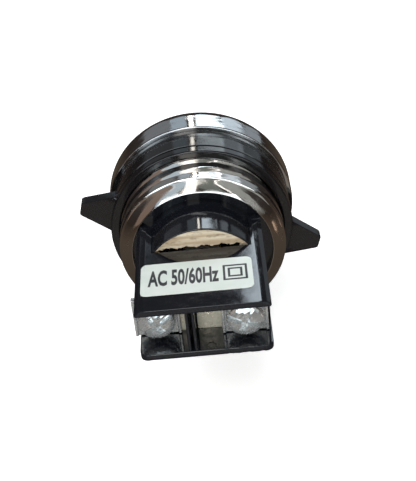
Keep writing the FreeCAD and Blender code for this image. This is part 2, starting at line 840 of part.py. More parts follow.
pieces = {
    "neck_sleeve": neck_sleeve,
    "panel_gasket": panel_gasket,
    "thrust_washer": thrust_washer,
    "ring_nut": ring_nut,
    "bezel_ring": bezel_ring,
    "lens": lens,
    "lens_gasket": lens_gasket,
    "lamp_body": lamp_body,
    "retaining_ring": retaining_ring,
    "end_board": end_board,
    "terminal_block": terminal_block,
    "floor_plate": floor_plate,
    "rating_label": rating_label,
    "terminal_rivets": terminal_rivets,
    "lead_wires": lead_wires,
    "transformer_core": transformer_core,
    "coil_bobbin": coil_bobbin,
    "primary_winding": primary_winding,
    "secondary_winding": secondary_winding,
    "coil_tape": coil_tape,
    "holder_insulator": holder_insulator,
    "bulb_holder": bulb_holder,
    "bulb_cap": bulb_cap,
    "bulb_contact": bulb_contact,
    "bulb_glass": bulb_glass,
    "bulb_filament": bulb_filament,
    "contact_plunger": contact_plunger,
    "contact_spring": contact_spring,
}

os.makedirs("parts", exist_ok=True)
for name, make in pieces.items():
    make().exportStep("parts/" + name + ".step")
for side in terminal_x:
    terminal_plate(side).exportStep("parts/terminal_plate_" + side + ".step")
    square_washer(side).exportStep("parts/square_washer_" + side + ".step")
    spring_washer(side).exportStep("parts/spring_washer_" + side + ".step")
    terminal_screw(side).exportStep("parts/terminal_screw_" + side + ".step")
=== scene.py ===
# %% [markdown]
# # A panel indicator lamp, finished in Blender
# The lamp goes through a round hole in a control panel. A chrome bezel and a domed lens face the
# front. Behind the panel a ring nut with two wings clamps it, and a black moulding carries a small
# transformer and two screw terminals. This script makes the visible surfaces, piece by piece,
# around a frame that already fixes every place and every joint.
#
# The frame is loaded first. The finished object may not outgrow it.

# %% Load the frame
import json
import math

import bmesh
import bpy
import numpy as np
from mathutils import Matrix, Vector


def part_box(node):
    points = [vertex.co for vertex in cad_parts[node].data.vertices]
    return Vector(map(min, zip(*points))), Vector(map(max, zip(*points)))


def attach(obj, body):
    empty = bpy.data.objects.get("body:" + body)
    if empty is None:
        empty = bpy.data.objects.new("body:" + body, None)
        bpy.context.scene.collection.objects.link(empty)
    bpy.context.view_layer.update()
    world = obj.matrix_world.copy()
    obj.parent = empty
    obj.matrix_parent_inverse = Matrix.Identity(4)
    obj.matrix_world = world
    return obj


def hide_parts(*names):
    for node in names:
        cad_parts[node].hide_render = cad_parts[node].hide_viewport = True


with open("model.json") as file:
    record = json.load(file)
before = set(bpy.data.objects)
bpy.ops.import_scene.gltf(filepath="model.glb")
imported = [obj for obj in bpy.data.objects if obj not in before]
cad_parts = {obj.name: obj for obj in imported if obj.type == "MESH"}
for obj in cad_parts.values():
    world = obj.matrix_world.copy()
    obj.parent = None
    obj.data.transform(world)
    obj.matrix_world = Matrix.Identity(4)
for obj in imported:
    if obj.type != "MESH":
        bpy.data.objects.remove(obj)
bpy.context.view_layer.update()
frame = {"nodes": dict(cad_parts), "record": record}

# %% [markdown]
# ## Lengths
# The frame is in metres, but a small lamp is easier to think about in millimetres. All shapes here
# are worked out in millimetres and scaled once, when they become a mesh. Each place comes from the
# box of the frame's node, so a piece follows its node if a size changes. The lamp's own frame has
# +Y out of the front, so "rear" is the low end of Y and "front" the high end.

# %% Read the places of the nodes
MM = 0.001


def corners(node):
    """Lowest and highest corner of a node's box, in millimetres."""
    low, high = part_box(node)
    return np.array(low) / MM, np.array(high) / MM


neck_low, neck_high = corners("neck_sleeve")
nut_low, nut_high = corners("ring_nut")
gasket_low, gasket_high = corners("panel_gasket")
washer_low, washer_high = corners("thrust_washer")
bezel_low, bezel_high = corners("bezel_ring")
lens_low, lens_high = corners("lens")
seal_low, seal_high = corners("lens_gasket")
body_low, body_high = corners("lamp_body")
board_low, board_high = corners("end_board")
block_low, block_high = corners("terminal_block")
floor_low, floor_high = corners("floor_plate")
label_low, label_high = corners("rating_label")
mounts = {mount["name"]: mount for mount in frame["record"]["mounts"]}
neck_radius = mounts["panel_neck"]["dims"]["r_mm"]
print("lamp from y =", round(block_low[1], 1), "to", round(lens_high[1], 1), "mm")

# %% [markdown]
# ## From rows of points to a closed mesh
# Nearly every piece is a *shell*: rows of points, each row a closed loop with the same number of
# points. Neighbouring rows are joined by four-sided faces. If the last row joins the first, the
# shell is a ring. If not, one flat face closes each end. Indexing whole arrays makes all the faces
# at once, with no loop over points. The sign of the volume tells whether the faces point outwards,
# so a shape that came out inside out is simply turned round.

# %% Define the shell
def enclosed_volume(points, faces):
    """Sum over fan triangles of the box product of their corners, divided by six."""
    total = 0.0
    for corner_count in {len(face) for face in faces}:
        block = np.array([face for face in faces if len(face) == corner_count])
        corner = points[block]
        for second in range(1, corner_count - 1):
            cross = np.cross(corner[:, second], corner[:, second + 1])
            total += np.einsum("ij,ij->", corner[:, 0], cross)
    return total / 6


def shell(rows, ring=False):
    """Joins rows of points, shaped (row, point, 3), into a closed mesh of outward faces."""
    rows = np.asarray(rows, float)
    row_count, loop_count = rows.shape[:2]
    grid = np.arange(row_count * loop_count).reshape(row_count, loop_count)
    near = grid if ring else grid[:-1]
    far = np.roll(grid, -1, 0) if ring else grid[1:]
    quads = np.stack([near, np.roll(near, -1, 1), np.roll(far, -1, 1), far], -1)
    faces = quads.reshape(-1, 4).tolist()
    if not ring:
        faces += [grid[0][::-1].tolist(), grid[-1].tolist()]
    points = rows.reshape(-1, 3)
    if enclosed_volume(points, faces) < 0:
        faces = [face[::-1] for face in faces]
    return points, faces


# %% [markdown]
# ## From shells to a piece
# One piece can hold several closed shells, as a moulding has walls and ribs. They are put into one
# mesh, points that fall together are merged, and the shading is smooth except where two faces meet
# at a clear angle. A Weighted Normal modifier then lets large flat faces keep their own direction,
# so that only the narrow rounded edges shade round. The last lines put its finish in the mesh's
# material slot, hang the piece on the empty of the body it rides on, and hide the nodes it stands for.

# %% Define the piece
SHARP_ANGLE = math.radians(34)
MERGE_DISTANCE = 1e-7


def piece(name, shells, finish, body, nodes=()):
    """Puts shells, in millimetres, into one object and places it in the frame."""
    points, faces = [], []
    for shell_points, shell_faces in shells:
        start = sum(len(part) for part in points)
        points.append(np.asarray(shell_points) * MM)
        faces += [[start + index for index in face] for face in shell_faces]
    mesh = bpy.data.meshes.new(name)
    mesh.from_pydata(np.concatenate(points).tolist(), [], faces)
    work = bmesh.new()
    work.from_mesh(mesh)
    bmesh.ops.remove_doubles(work, verts=work.verts, dist=MERGE_DISTANCE)
    work.to_mesh(mesh)
    work.free()
    mesh.shade_smooth()
    mesh.set_sharp_from_angle(angle=SHARP_ANGLE)
    mesh.materials.append(finish)
    finished = bpy.data.objects.new(name, mesh)
    bpy.context.scene.collection.objects.link(finished)
    flats = finished.modifiers.new("flats_stay_flat", "WEIGHTED_NORMAL")
    flats.keep_sharp = True
    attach(finished, body)
    if nodes:
        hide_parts(*nodes)
    print(name, "has", len(mesh.polygons), "faces")


# %% [markdown]
# ## Rounded corners
# No moulded or turned edge is perfectly sharp, and it is the small rounding that catches the light.
# `soften` replaces each corner of an outline by a short curve: it walks from a little before the
# corner to a little after it, pulled towards the corner, which is a quadratic Bezier curve. The
# reach is limited to a share of the shorter side, so corners never overlap.

# %% Define outlines
CORNER_SHARE = 0.45


def soften(corners_in_order, reach, closed=True, steps=5):
    """Each corner P becomes (1-t)^2 A + 2t(1-t) P + t^2 B, with A and B on its two sides."""
    corner = np.asarray(corners_in_order, float)
    back = np.roll(corner, 1, 0) - corner
    ahead = np.roll(corner, -1, 0) - corner
    back_length = np.linalg.norm(back, axis=1)
    ahead_length = np.linalg.norm(ahead, axis=1)
    limit = np.minimum(reach, CORNER_SHARE * np.minimum(back_length, ahead_length))
    if not closed:
        limit[[0, -1]] = 0
    start = corner + back * (limit / back_length)[:, None]
    end = corner + ahead * (limit / ahead_length)[:, None]
    t = np.linspace(0, 1, steps)[None, :, None]
    curve = (1 - t) ** 2 * start[:, None] + 2 * t * (1 - t) * corner[:, None] + t ** 2 * end[:, None]
    flat = curve.reshape(-1, corner.shape[1])
    gap = np.linalg.norm(flat - np.roll(flat, 1, 0), axis=1)
    return flat[gap > 1e-6]


def full_turn(count):
    """Angles of a circle, without the repeated last one."""
    return np.linspace(0, 2 * math.pi, count, endpoint=False)


# %% [markdown]
# ## Two ways to make a shell
# *Turning*: a profile of (y, radius) points is swept round an axis parallel to Y, as on a lathe.
# The radius may also change with the angle, which gives threads and wings.
#
# *Drawing out a bar*: a flat outline is carried straight along one axis. Its end rows shrink
# inwards on a quarter circle, so the bar's end edges are rounded too.

# %% Define turning and bars
def turn(profile, count=128, x=0.0, z=0.0, ring=True, angles=None):
    """Each profile point (y, r) becomes a circle: (x + r cos a, y, z + r sin a)."""
    angles = full_turn(count) if angles is None else angles
    y = np.array([point[0] for point in profile], float)
    r = np.stack([np.broadcast_to(point[1], angles.shape) for point in profile])
    rows = np.stack([x + r * np.cos(angles), np.broadcast_to(y[:, None], r.shape),
                     z + r * np.sin(angles)], -1)
    return shell(rows, ring)


def inset(outline, distance):
    """Moves each point of a flat closed outline inwards, across the line through its neighbours."""
    along = np.roll(outline, -1, 0) - np.roll(outline, 1, 0)
    along /= np.linalg.norm(along, axis=1)[:, None]
    across = np.stack([-along[:, 1], along[:, 0]], -1)
    x, y = outline.T
    area = np.sum(x * np.roll(y, -1) - y * np.roll(x, -1)) / 2
    return outline + across * distance * np.sign(area)


def bar(outline, low, high, axis, edge=0.15, steps=4):
    """Carries a flat outline along an axis (0 x, 1 y, 2 z) with round edges at both ends."""
    outline = np.asarray(outline, float)
    turn_angle = np.linspace(0, math.pi / 2, steps)
    shrink = edge * (1 - np.sin(turn_angle))
    rise = edge * (1 - np.cos(turn_angle))
    places = np.concatenate([low + rise, (high - rise)[::-1]])
    shrinks = np.concatenate([shrink, shrink[::-1]])
    flat_axes = [other for other in (0, 1, 2) if other != axis]
    rows = np.empty((len(places), len(outline), 3))
    for index, (place, distance) in enumerate(zip(places, shrinks)):
        rows[index][:, flat_axes] = inset(outline, distance)
        rows[index][:, axis] = place
    return shell(rows)


def rectangle(low, high, corner, steps=6):
    """Outline of a rectangle with rounded corners, from its two opposite corners."""
    (x_low, y_low), (x_high, y_high) = low, high
    return soften([(x_low, y_low), (x_high, y_low), (x_high, y_high), (x_low, y_high)],
                  corner, steps=steps)


# %% [markdown]
# ## Building materials
# A finish is a Principled shader with patterns laid over it. Every pattern reads Object
# coordinates. All pieces sit at the origin, so these are places in the lamp's own frame, and a
# pattern runs on from one piece to the next. `noise` is stretched by three frequencies per
# millimetre: a high number along Y and low ones across it give the fine rings that a lathe leaves.
# The helpers below turn a pattern into a colour change, a roughness change or a bump.

# %% Define the material helpers
def plain(name, colour, roughness, metallic=0.0, **sockets):
    """A Principled material with fixed values; other sockets are named with _ for a space."""
    material = bpy.data.materials.new(name)
    material.use_nodes = True
    shader = material.node_tree.nodes["Principled BSDF"]
    shader.inputs["Base Color"].default_value = (*colour, 1)
    shader.inputs["Roughness"].default_value = roughness
    shader.inputs["Metallic"].default_value = metallic
    for socket, value in sockets.items():
        shader.inputs[socket.replace("_", " ")].default_value = value
    return material


def add(material, kind, **settings):
    """Adds a node and sets its properties."""
    node = material.node_tree.nodes.new(kind)
    for key, value in settings.items():
        setattr(node, key, value)
    return node


def join(material, source, target):
    """Links an output socket to an input socket."""
    material.node_tree.links.new(source, target)


def noise(material, frequency, detail=3.0, seed=(0.0, 0.0, 0.0)):
    """Smooth noise from 0 to 1, with a frequency per millimetre along x, y and z."""
    place = add(material, "ShaderNodeTexCoord")
    mapping = add(material, "ShaderNodeMapping")
    mapping.inputs["Scale"].default_value = [value / MM for value in frequency]
    mapping.inputs["Location"].default_value = seed
    texture = add(material, "ShaderNodeTexNoise")
    texture.inputs["Scale"].default_value = 1.0
    texture.inputs["Detail"].default_value = detail
    join(material, place.outputs["Object"], mapping.inputs["Vector"])
    join(material, mapping.outputs["Vector"], texture.inputs["Vector"])
    return texture.outputs["Fac"]


def between(material, pattern, start, end, low=0.0, high=1.0):
    """Stretches the part of a pattern between start and end to run from low to high."""
    node = add(material, "ShaderNodeMapRange")
    for socket, value in (("From Min", start), ("From Max", end), ("To Min", low), ("To Max", high)):
        node.inputs[socket].default_value = value
    join(material, pattern, node.inputs["Value"])
    return node.outputs["Result"]


def shader_of(material):
    """The material's Principled shader."""
    return material.node_tree.nodes["Principled BSDF"]


def tint(material, amount, colour):
    """Mixes a colour over the base colour by an amount from 0 to 1; calls may be stacked."""
    base = shader_of(material).inputs["Base Color"]
    mix = add(material, "ShaderNodeMix", data_type="RGBA")
    mix.inputs[6].default_value = base.default_value
    mix.inputs[7].default_value = (*colour, 1)
    if base.is_linked:
        join(material, base.links[0].from_socket, mix.inputs[6])
    join(material, amount, mix.inputs[0])
    join(material, mix.outputs[2], base)


def roughen(material, amount, low, high):
    """Lets the roughness run from low to high with a pattern."""
    join(material, between(material, amount, 0.0, 1.0, low, high),
         shader_of(material).inputs["Roughness"])


def emboss(material, pattern, depth, strength=1.0):
    """Bumps the surface by a pattern, with a depth in millimetres; calls may be stacked."""
    normal = shader_of(material).inputs["Normal"]
    bump = add(material, "ShaderNodeBump")
    bump.inputs["Distance"].default_value = depth * MM
    bump.inputs["Strength"].default_value = strength
    if normal.is_linked:
        join(material, normal.links[0].from_socket, bump.inputs["Normal"])
    join(material, pattern, bump.inputs["Height"])
    join(material, bump.outputs["Normal"], normal)


# %% [markdown]
# ## Chrome
# Bright chrome is a nearly perfect mirror, so its look is made by what it reflects. What makes it
# real is the small damage: fine rings from the lathe, a slight waviness from polishing, and dull
# smears where fingers touched it. The bezel is plated smoother than the threaded neck.

# %% Mix the chromes
def chrome(name, colour, ring_depth, wave_depth, smear):
    """Mirror metal with turned rings along Y, slow waves and dull smears."""
    material = plain(name, colour, 0.08, 1.0)
    emboss(material, noise(material, (0.02, 5.0, 0.02), 4.0), ring_depth)
    emboss(material, noise(material, (0.16, 0.28, 0.16), 2.0), wave_depth)
    smears = between(material, noise(material, (0.35, 0.9, 0.35), 5.0), 0.48, 0.72)
    roughen(material, smears, 0.07, smear)
    spots = between(material, noise(material, (1.3, 1.3, 1.3), 5.0, (3, 1, 7)), 0.68, 0.80)
    tint(material, between(material, spots, 0.0, 1.0, 0.0, 0.6), (0.24, 0.20, 0.17))
    return material


neck_chrome = chrome("neck_chrome", (0.78, 0.75, 0.72), 0.006, 0.10, 0.30)
bezel_chrome = chrome("bezel_chrome", (0.76, 0.77, 0.78), 0.004, 0.06, 0.26)

# %% [markdown]
# ## Black plastic and rubber
# The mouldings are glossy black phenolic plastic. Gloss on black shows every fault: faint flow
# waves from the mould, fine scratches, and grey dust that gathers as dull specks. The rubber of the
# gasket is softer in its reflection and slightly grainy.

# %% Mix the blacks
def moulded_black(name, colour, roughness, dust, wave_depth=0.022):
    """Glossy black with flow waves, hairline scratches and dull dust."""
    material = plain(name, colour, roughness, 0.0, Specular_IOR_Level=0.85)
    emboss(material, noise(material, (0.22, 0.22, 0.22), 2.0), wave_depth)
    emboss(material, noise(material, (1.2, 14.0, 1.2), 2.0, (5, 2, 1)), 0.0016)
    specks = between(material, noise(material, (2.1, 2.1, 2.1), 5.0, (1, 4, 2)), 0.66, 0.76)
    tint(material, between(material, specks, 0.0, 1.0, 0.0, dust), (0.30, 0.29, 0.27))
    smears = noise(material, (0.45, 0.45, 0.45), 4.0, (7, 7, 3))
    roughen(material, between(material, smears, 0.40, 0.75), roughness, roughness + 0.07)
    return material


body_black = moulded_black("body_black", (0.006, 0.007, 0.010), 0.05, 0.10)
nut_black = moulded_black("nut_black", (0.005, 0.005, 0.006), 0.09, 0.05)
rubber = moulded_black("black_rubber", (0.006, 0.006, 0.007), 0.16, 0.14, 0.03)

# %% [markdown]
# ## Terminal metals
# The screws are zinc plated steel and the plates are nickel plated brass. Both have been handled:
# scuffed, a little stained, and bright on the high spots. The stain is a slow noise in a grey or
# brownish tone, and the scuffs are a finer noise used as a bump. Zinc and nickel with a dull skin
# scatter some light, so these two are not wholly metallic.

# %% Mix the small metals
def worked_metal(name, colour, stain, roughness, scuff_depth, frequency=1.6, metallic=1.0):
    """Plated metal with scuffs, dull patches and a coloured stain."""
    material = plain(name, colour, roughness, metallic)
    scuffs = noise(material, (frequency, frequency, frequency), 5.0)
    emboss(material, scuffs, scuff_depth)
    emboss(material, noise(material, (9.0, 2.0, 2.0), 2.0, (2, 2, 8)), scuff_depth * 0.12)
    patches = between(material, noise(material, (0.7, 0.7, 0.7), 4.0, (4, 1, 1)), 0.45, 0.68)
    roughen(material, patches, roughness * 0.6, min(1.0, roughness * 2.0))
    tint(material, between(material, patches, 0.0, 1.0, 0.0, 0.75), stain)
    return material


zinc = worked_metal("zinc", (0.86, 0.90, 0.92), (0.60, 0.62, 0.62), 0.20, 0.040, 1.0, 0.86)
nickel = worked_metal("nickel", (0.84, 0.80, 0.68), (0.56, 0.56, 0.46), 0.36, 0.06, 1.2, 0.7)
brass = worked_metal("brass", (0.72, 0.52, 0.22), (0.36, 0.22, 0.09), 0.22, 0.03)
spring_steel = worked_metal("spring_steel", (0.55, 0.55, 0.56), (0.25, 0.24, 0.24), 0.25, 0.02)
solder = worked_metal("solder", (0.62, 0.62, 0.60), (0.33, 0.33, 0.34), 0.34, 0.08)
tungsten = worked_metal("tungsten", (0.26, 0.26, 0.27), (0.12, 0.12, 0.13), 0.40, 0.01)
core_steel = worked_metal("core_steel", (0.30, 0.29, 0.29), (0.14, 0.09, 0.07), 0.42, 0.04)
copper = worked_metal("copper", (0.62, 0.26, 0.11), (0.34, 0.12, 0.05), 0.28, 0.03, 4.0)

# %% [markdown]
# ## Board, label and hidden insulators
# The end board is pressed fibre under a coat of varnish: warm beige, with pale streaks along the
# press direction and darker dirt. The label is glossy white film with a faint cool tone. The parts
# inside the lamp get quieter finishes, because they show only through the lens or an opening.

# %% Mix the insulators
def fibre(name, colour, dark, pale, roughness, coat):
    """Pressed board: streaks along X, grain, and an optional varnish."""
    material = plain(name, colour, roughness, 0.0, Coat_Weight=coat, Coat_Roughness=0.18)
    streaks = noise(material, (0.09, 0.5, 1.1), 5.0)
    tint(material, between(material, streaks, 0.42, 0.70), pale)
    dirt = noise(material, (0.55, 0.9, 1.3), 6.0, (6, 3, 2))
    tint(material, between(material, dirt, 0.52, 0.74), dark)
    emboss(material, noise(material, (1.0, 2.0, 3.2), 4.0), 0.06)
    return material


press_board = fibre("press_board", (0.40, 0.32, 0.22), (0.20, 0.15, 0.10), (0.66, 0.60, 0.48), 0.40, 0.55)
fibre_board = fibre("fibre_board", (0.22, 0.10, 0.05), (0.10, 0.05, 0.03), (0.30, 0.16, 0.08), 0.55, 0.15)


def film(name, colour, cloud, roughness, **sockets):
    """Smooth plastic film with a faint cloud of another tone and slight waviness."""
    material = plain(name, colour, roughness, 0.0, **sockets)
    clouds = noise(material, (0.16, 0.22, 0.16), 3.0)
    tint(material, between(material, clouds, 0.40, 0.66), cloud)
    emboss(material, noise(material, (0.5, 0.5, 0.5), 2.0), 0.015)
    return material


label_white = film("label_white", (0.66, 0.72, 0.67), (0.74, 0.78, 0.74), 0.20, Specular_IOR_Level=0.45)
bobbin_nylon = film("bobbin_nylon", (0.74, 0.70, 0.58), (0.66, 0.61, 0.50), 0.45)
coil_tape = film("coil_tape", (0.72, 0.52, 0.12), (0.64, 0.44, 0.08), 0.30)
lead_red = film("lead_red", (0.45, 0.04, 0.03), (0.36, 0.03, 0.02), 0.38)
print_black = film("print_black", (0.018, 0.019, 0.022), (0.05, 0.05, 0.055), 0.42)

# %% [markdown]
# ## Lens plastic and bulb glass
# The lens is clear-bodied red plastic, so light has to pass through it: the shader's transmission
# does that, and a little roughness stands for the fine texture inside. The bulb is plain thin glass.

# %% Mix the clear materials
lens_red = plain("lens_red", (0.78, 0.030, 0.022), 0.10, 0.0, Transmission_Weight=0.72, IOR=1.49)
emboss(lens_red, noise(lens_red, (0.25, 0.25, 0.25), 2.0), 0.02)
lens_haze = between(lens_red, noise(lens_red, (1.1, 1.1, 1.1), 3.0), 0.45, 0.75)
roughen(lens_red, lens_haze, 0.10, 0.24)
bulb_glass = plain("bulb_glass", (0.95, 0.96, 0.95), 0.03, 0.0, Transmission_Weight=0.95, IOR=1.48)
roughen(bulb_glass, noise(bulb_glass, (0.8, 0.8, 0.8), 3.0), 0.01, 0.08)
print("materials:", len(bpy.data.materials))

# %% [markdown]
# ## Neck sleeve
# The neck is one turned tube: a front boss under the bezel, a collar, the panel thread, and a rear
# end rolled smoothly inwards. A plain lathe profile would give ring grooves, but a real thread is a
# helix. Here the radius is a function of both the place along Y and the angle: the groove's centre
# moves by one pitch in each turn, and its section is a smooth valley. The thread fades out before
# the shoulder, as a cutting tool runs out. The rear end is a cone with a slight bulge.

# %% Turn the neck
PITCH = 3.0
GROOVE_DEPTH = 0.7
GROOVE_HALF_WIDTH = 0.72
GROOVE_TOP_PLACE = 3.95          # groove's centre in front of the neck's rear end, at the top
NECK_SEGMENTS = 200
COLLAR_FRONT = 1.8
CONE_BULGE = 0.14
CONE_START_DROP = 0.40           # cone's large end below the crest
CONE_END_RISE = 0.12             # cone's small end above the rim's hole


def smooth_step(value):
    """3 v^2 - 2 v^3 between 0 and 1, flat outside."""
    v = np.clip(value, 0, 1)
    return v * v * (3 - 2 * v)


def thread_radius(y, angles):
    """Crest radius less a smooth valley that moves one pitch per turn, right-handed."""
    centre = neck_low[1] + GROOVE_TOP_PLACE - PITCH * (angles - math.pi / 2) / (2 * math.pi)
    offset = (y[:, None] - centre[None, :] + PITCH / 2) % PITCH - PITCH / 2
    valley = smooth_step(1 - np.abs(offset) / GROOVE_HALF_WIDTH) ** 0.7
    fade = smooth_step((y - shoulder_y - 0.35) / 0.5)[:, None]
    return neck_radius - GROOVE_DEPTH * valley * fade


rim_radius = 12.6
light_bore = 12.4
rim_y = neck_low[1]
shoulder_y = rim_y + 1.5
inner_y = rim_y + 1.3
neck_bore = 13.4
boss_radius = 14.55
neck_angles = full_turn(NECK_SEGMENTS)
thread_y = np.arange(shoulder_y + 0.05, gasket_low[1], 0.12)
thread_rows = list(zip(thread_y, thread_radius(thread_y, neck_angles)))
step_y = shoulder_y - 0.12
share = np.linspace(0, 1, 14)
cone_y = step_y - 0.06 + (rim_y - step_y + 0.06) * share - CONE_BULGE * np.sin(math.pi * share)
cone_r = ((neck_radius - CONE_START_DROP)
          + (rim_radius + CONE_END_RISE - neck_radius + CONE_START_DROP) * share)
roll_rows = [(max(y, rim_y), r) for y, r in zip(cone_y, cone_r)]
neck_profile = (
    soften([(neck_high[1], light_bore), (neck_high[1], boss_radius), (COLLAR_FRONT, boss_radius),
            (COLLAR_FRONT, neck_high[0]), (0.0, neck_high[0]), (-0.2, neck_radius)],
           0.2, False).tolist()[:-1]
    + thread_rows[::-1]
    + [(shoulder_y - 0.02, neck_radius - 0.05), (step_y, neck_radius - 0.32)]
    + roll_rows
    + soften([(rim_y, rim_radius + 0.2), (rim_y, rim_radius), (inner_y, rim_radius),
              (inner_y, neck_bore), (0.0, neck_bore), (0.0, light_bore), (neck_high[1], light_bore)],
             0.15, False).tolist()[1:-1]
)
piece("neck_finish", [turn(neck_profile, angles=neck_angles)], neck_chrome, "lamp_unit",
      ["neck_sleeve"])

# %% [markdown]
# ## Ring nut with wings
# Two wings let fingers tighten the nut. A straight way is to fuse blocks to a ring, but then the
# roots need care. Because every ray from the axis meets the nut's outside once, the whole nut can
# be one turned shape whose radius depends on the angle. Along a wing's flank the half width falls
# in a straight line with the distance u from the axis, w = w0 - k (u - u0). A ray at angle f from
# the wing's middle meets that line at radius (w0 + k u0) / (sin f + k cos f).

# %% Turn the ring nut
nut_radius = 16.8
WING_TIP = 22.6
WING_ROOT_HALF = 3.6
WING_TIP_HALF = 1.2
WING_ANGLE = math.radians(15.7)  # below the horizontal on the right, above it on the left
WING_FACE = (0.9, 3.5)           # the wing's rear and front faces, in front of the nut's rear
TIP_ROUNDING = 0.45
WING_EDGE = 0.4
TURNED_GROOVE = (1.6, 2.1, 0.35)  # start and end in front of the nut's rear, and depth


def wing_radius(angles):
    """Distance at which a ray leaves the nearer wing, with a rounded meeting of flank and tip."""
    turn_from_wing = (angles + WING_ANGLE + math.pi / 2) % math.pi - math.pi / 2
    f = np.abs(turn_from_wing)
    k = (WING_ROOT_HALF - WING_TIP_HALF) / (WING_TIP - nut_radius)
    flank = (WING_ROOT_HALF + k * nut_radius) / (np.sin(f) + k * np.cos(f))
    tip = WING_TIP / np.cos(f)
    overlap = np.clip(0.5 + 0.5 * (tip - flank) / TIP_ROUNDING, 0, 1)
    return tip * (1 - overlap) + flank * overlap - TIP_ROUNDING * overlap * (1 - overlap)


coarse = full_turn(144)
near_wing = np.linspace(-0.30, 0.30, 61)
nut_angles = np.unique(np.round(np.concatenate(
    [coarse, *[(near_wing - WING_ANGLE + half) % (2 * math.pi) for half in (0, math.pi)]]), 5))
nut_y = nut_low[1]
wings = wing_radius(nut_angles)
nut_bore = neck_radius + 0.06
groove_low, groove_high, groove_cut = TURNED_GROOVE
barrel = soften([(nut_y, nut_bore), (nut_y, nut_radius), (nut_high[1], nut_radius),
                 (nut_high[1], nut_bore)], [0.25, 0.30, 0.10, 0.10], steps=7)
front_part = [p for p in barrel if p[1] > nut_bore + 0.3]
barrel_y = np.array([p[0] for p in front_part])
barrel_r = np.array([p[1] for p in front_part])
groove_rows = np.array([groove_low - 0.12, groove_low, groove_low + 0.06, groove_high - 0.06,
                        groove_high, groove_high + 0.12]) + nut_y
wing_low, wing_high = WING_FACE[0] + nut_y, WING_FACE[1] + nut_y
edge = WING_EDGE * np.sin(np.linspace(0, math.pi / 2, 5))
wing_rows = np.concatenate([[wing_low - 0.002], wing_low + edge, wing_high - edge[::-1],
                            [wing_high + 0.002]])
nut_rows_y = np.unique(np.round(np.concatenate([barrel_y, groove_rows, wing_rows]), 4))
order = np.argsort(barrel_y)
base_radius = np.interp(nut_rows_y, barrel_y[order], barrel_r[order])
in_groove = (nut_rows_y > groove_low + nut_y) & (nut_rows_y < groove_high + nut_y)
base_radius = base_radius - groove_cut * in_groove
inside = np.minimum(nut_rows_y - wing_low, wing_high - nut_rows_y)
corner_drop = WING_EDGE - np.sqrt(np.clip(
    WING_EDGE ** 2 - np.clip(WING_EDGE - inside, 0, WING_EDGE) ** 2, 0, None))
wing_part = np.where(inside[:, None] >= 0, wings[None, :] - corner_drop[:, None], 0)
outer = np.maximum(base_radius[:, None], wing_part)
nut_profile = (
    [(nut_high[1], nut_bore + 0.25), (nut_high[1] - 0.25, nut_bore)]
    + [(nut_y + 0.3, nut_bore), (nut_y, nut_bore + 0.3)]
    + list(zip(nut_rows_y, outer))
)
piece("ring_nut_finish", [turn(nut_profile, angles=nut_angles)], nut_black, "ring_nut",
      ["ring_nut"])

# %% [markdown]
# ## Gaskets and thrust washer
# A flat gasket lies between the collar and the panel, and a thin washer keeps the turning nut from
# dragging it. Soft rubber bulges a little where it is squeezed, so the gasket's outer side is
# slightly crowned rather than straight.

# %% Turn the gasket and the washers
def flat_ring(low, high, bore, radius, crown=0.0, reach=0.2):
    """Ring profile with rounded corners; a crown bulges the outer side by a parabola."""
    profile = soften([(low, bore), (low, radius), ((low + high) / 2, radius), (high, radius),
                      (high, bore)], reach)
    middle, half = (low + high) / 2, (high - low) / 2
    swell = crown * (1 - ((profile[:, 0] - middle) / half) ** 2)
    profile[:, 1] += np.where(profile[:, 1] > (bore + radius) / 2, swell, 0)
    return turn(profile, 160)


SEAL_BORE = 12.7
piece("panel_gasket_finish", [flat_ring(gasket_low[1], gasket_high[1], neck_radius + 0.05,
                                        gasket_high[0] - 0.03, 0.04, 0.1)],
      rubber, "lamp_unit", ["panel_gasket"])
piece("thrust_washer_finish", [flat_ring(washer_low[1], washer_high[1], neck_radius + 0.06,
                                         washer_high[0], 0.0, 0.05)],
      nut_black, "thrust_ring", ["thrust_washer"])
piece("lens_gasket_finish",
      [flat_ring(seal_low[1], seal_high[1], SEAL_BORE, seal_high[0], 0.0, 0.12)],
      rubber, "lens", ["lens_gasket"])

# %% [markdown]
# ## Bezel
# The bezel is a turned cup: a straight side, a large rounded nose and a thin lip that holds the
# lens. It is drawn as one profile. Two fine grooves near its rear give fingers a grip when the lens
# is changed, and the rear edge is rolled to a small round.

# %% Turn the bezel
bezel_radius = bezel_high[0]
bezel_rear, bezel_front = bezel_low[1], bezel_high[1]
SIDE_END = 4.2
NOSE_RADIUS = 14.4
LIP_BORE = 12.9
LIP_THICKNESS = 1.1
COLLAR_ROOM = 16.65              # wide rear bore, round the neck's collar
COLLAR_ROOM_END = 1.9            # its front end along Y
BOSS_BORE = 14.61                # the bore that turns on the neck's boss
GRIP_PLACES = (1.1, 1.7)
GRIP_CUT = 0.07
GRIP_HALF_WIDTH = 0.12
GRIP_INNER_LIMIT = 17.2          # only points beyond this radius are grooved
nose = np.linspace(0, math.pi / 2, 16)
nose_points = [(SIDE_END + (bezel_front - SIDE_END) * math.sin(a),
                NOSE_RADIUS + (bezel_radius - NOSE_RADIUS) * math.cos(a)) for a in nose]
bezel_profile = (
    soften([(bezel_rear, COLLAR_ROOM), (bezel_rear, bezel_radius), (SIDE_END, bezel_radius)],
           0.28, False, 7).tolist()
    + nose_points[1:]
    + soften([(bezel_front, NOSE_RADIUS), (bezel_front, LIP_BORE),
              (bezel_front - LIP_THICKNESS, LIP_BORE), (bezel_front - LIP_THICKNESS, BOSS_BORE),
              (COLLAR_ROOM_END, BOSS_BORE), (COLLAR_ROOM_END, COLLAR_ROOM),
              (bezel_rear, COLLAR_ROOM)], 0.22, False).tolist()[1:-1]
)
bezel_profile = np.array(bezel_profile)
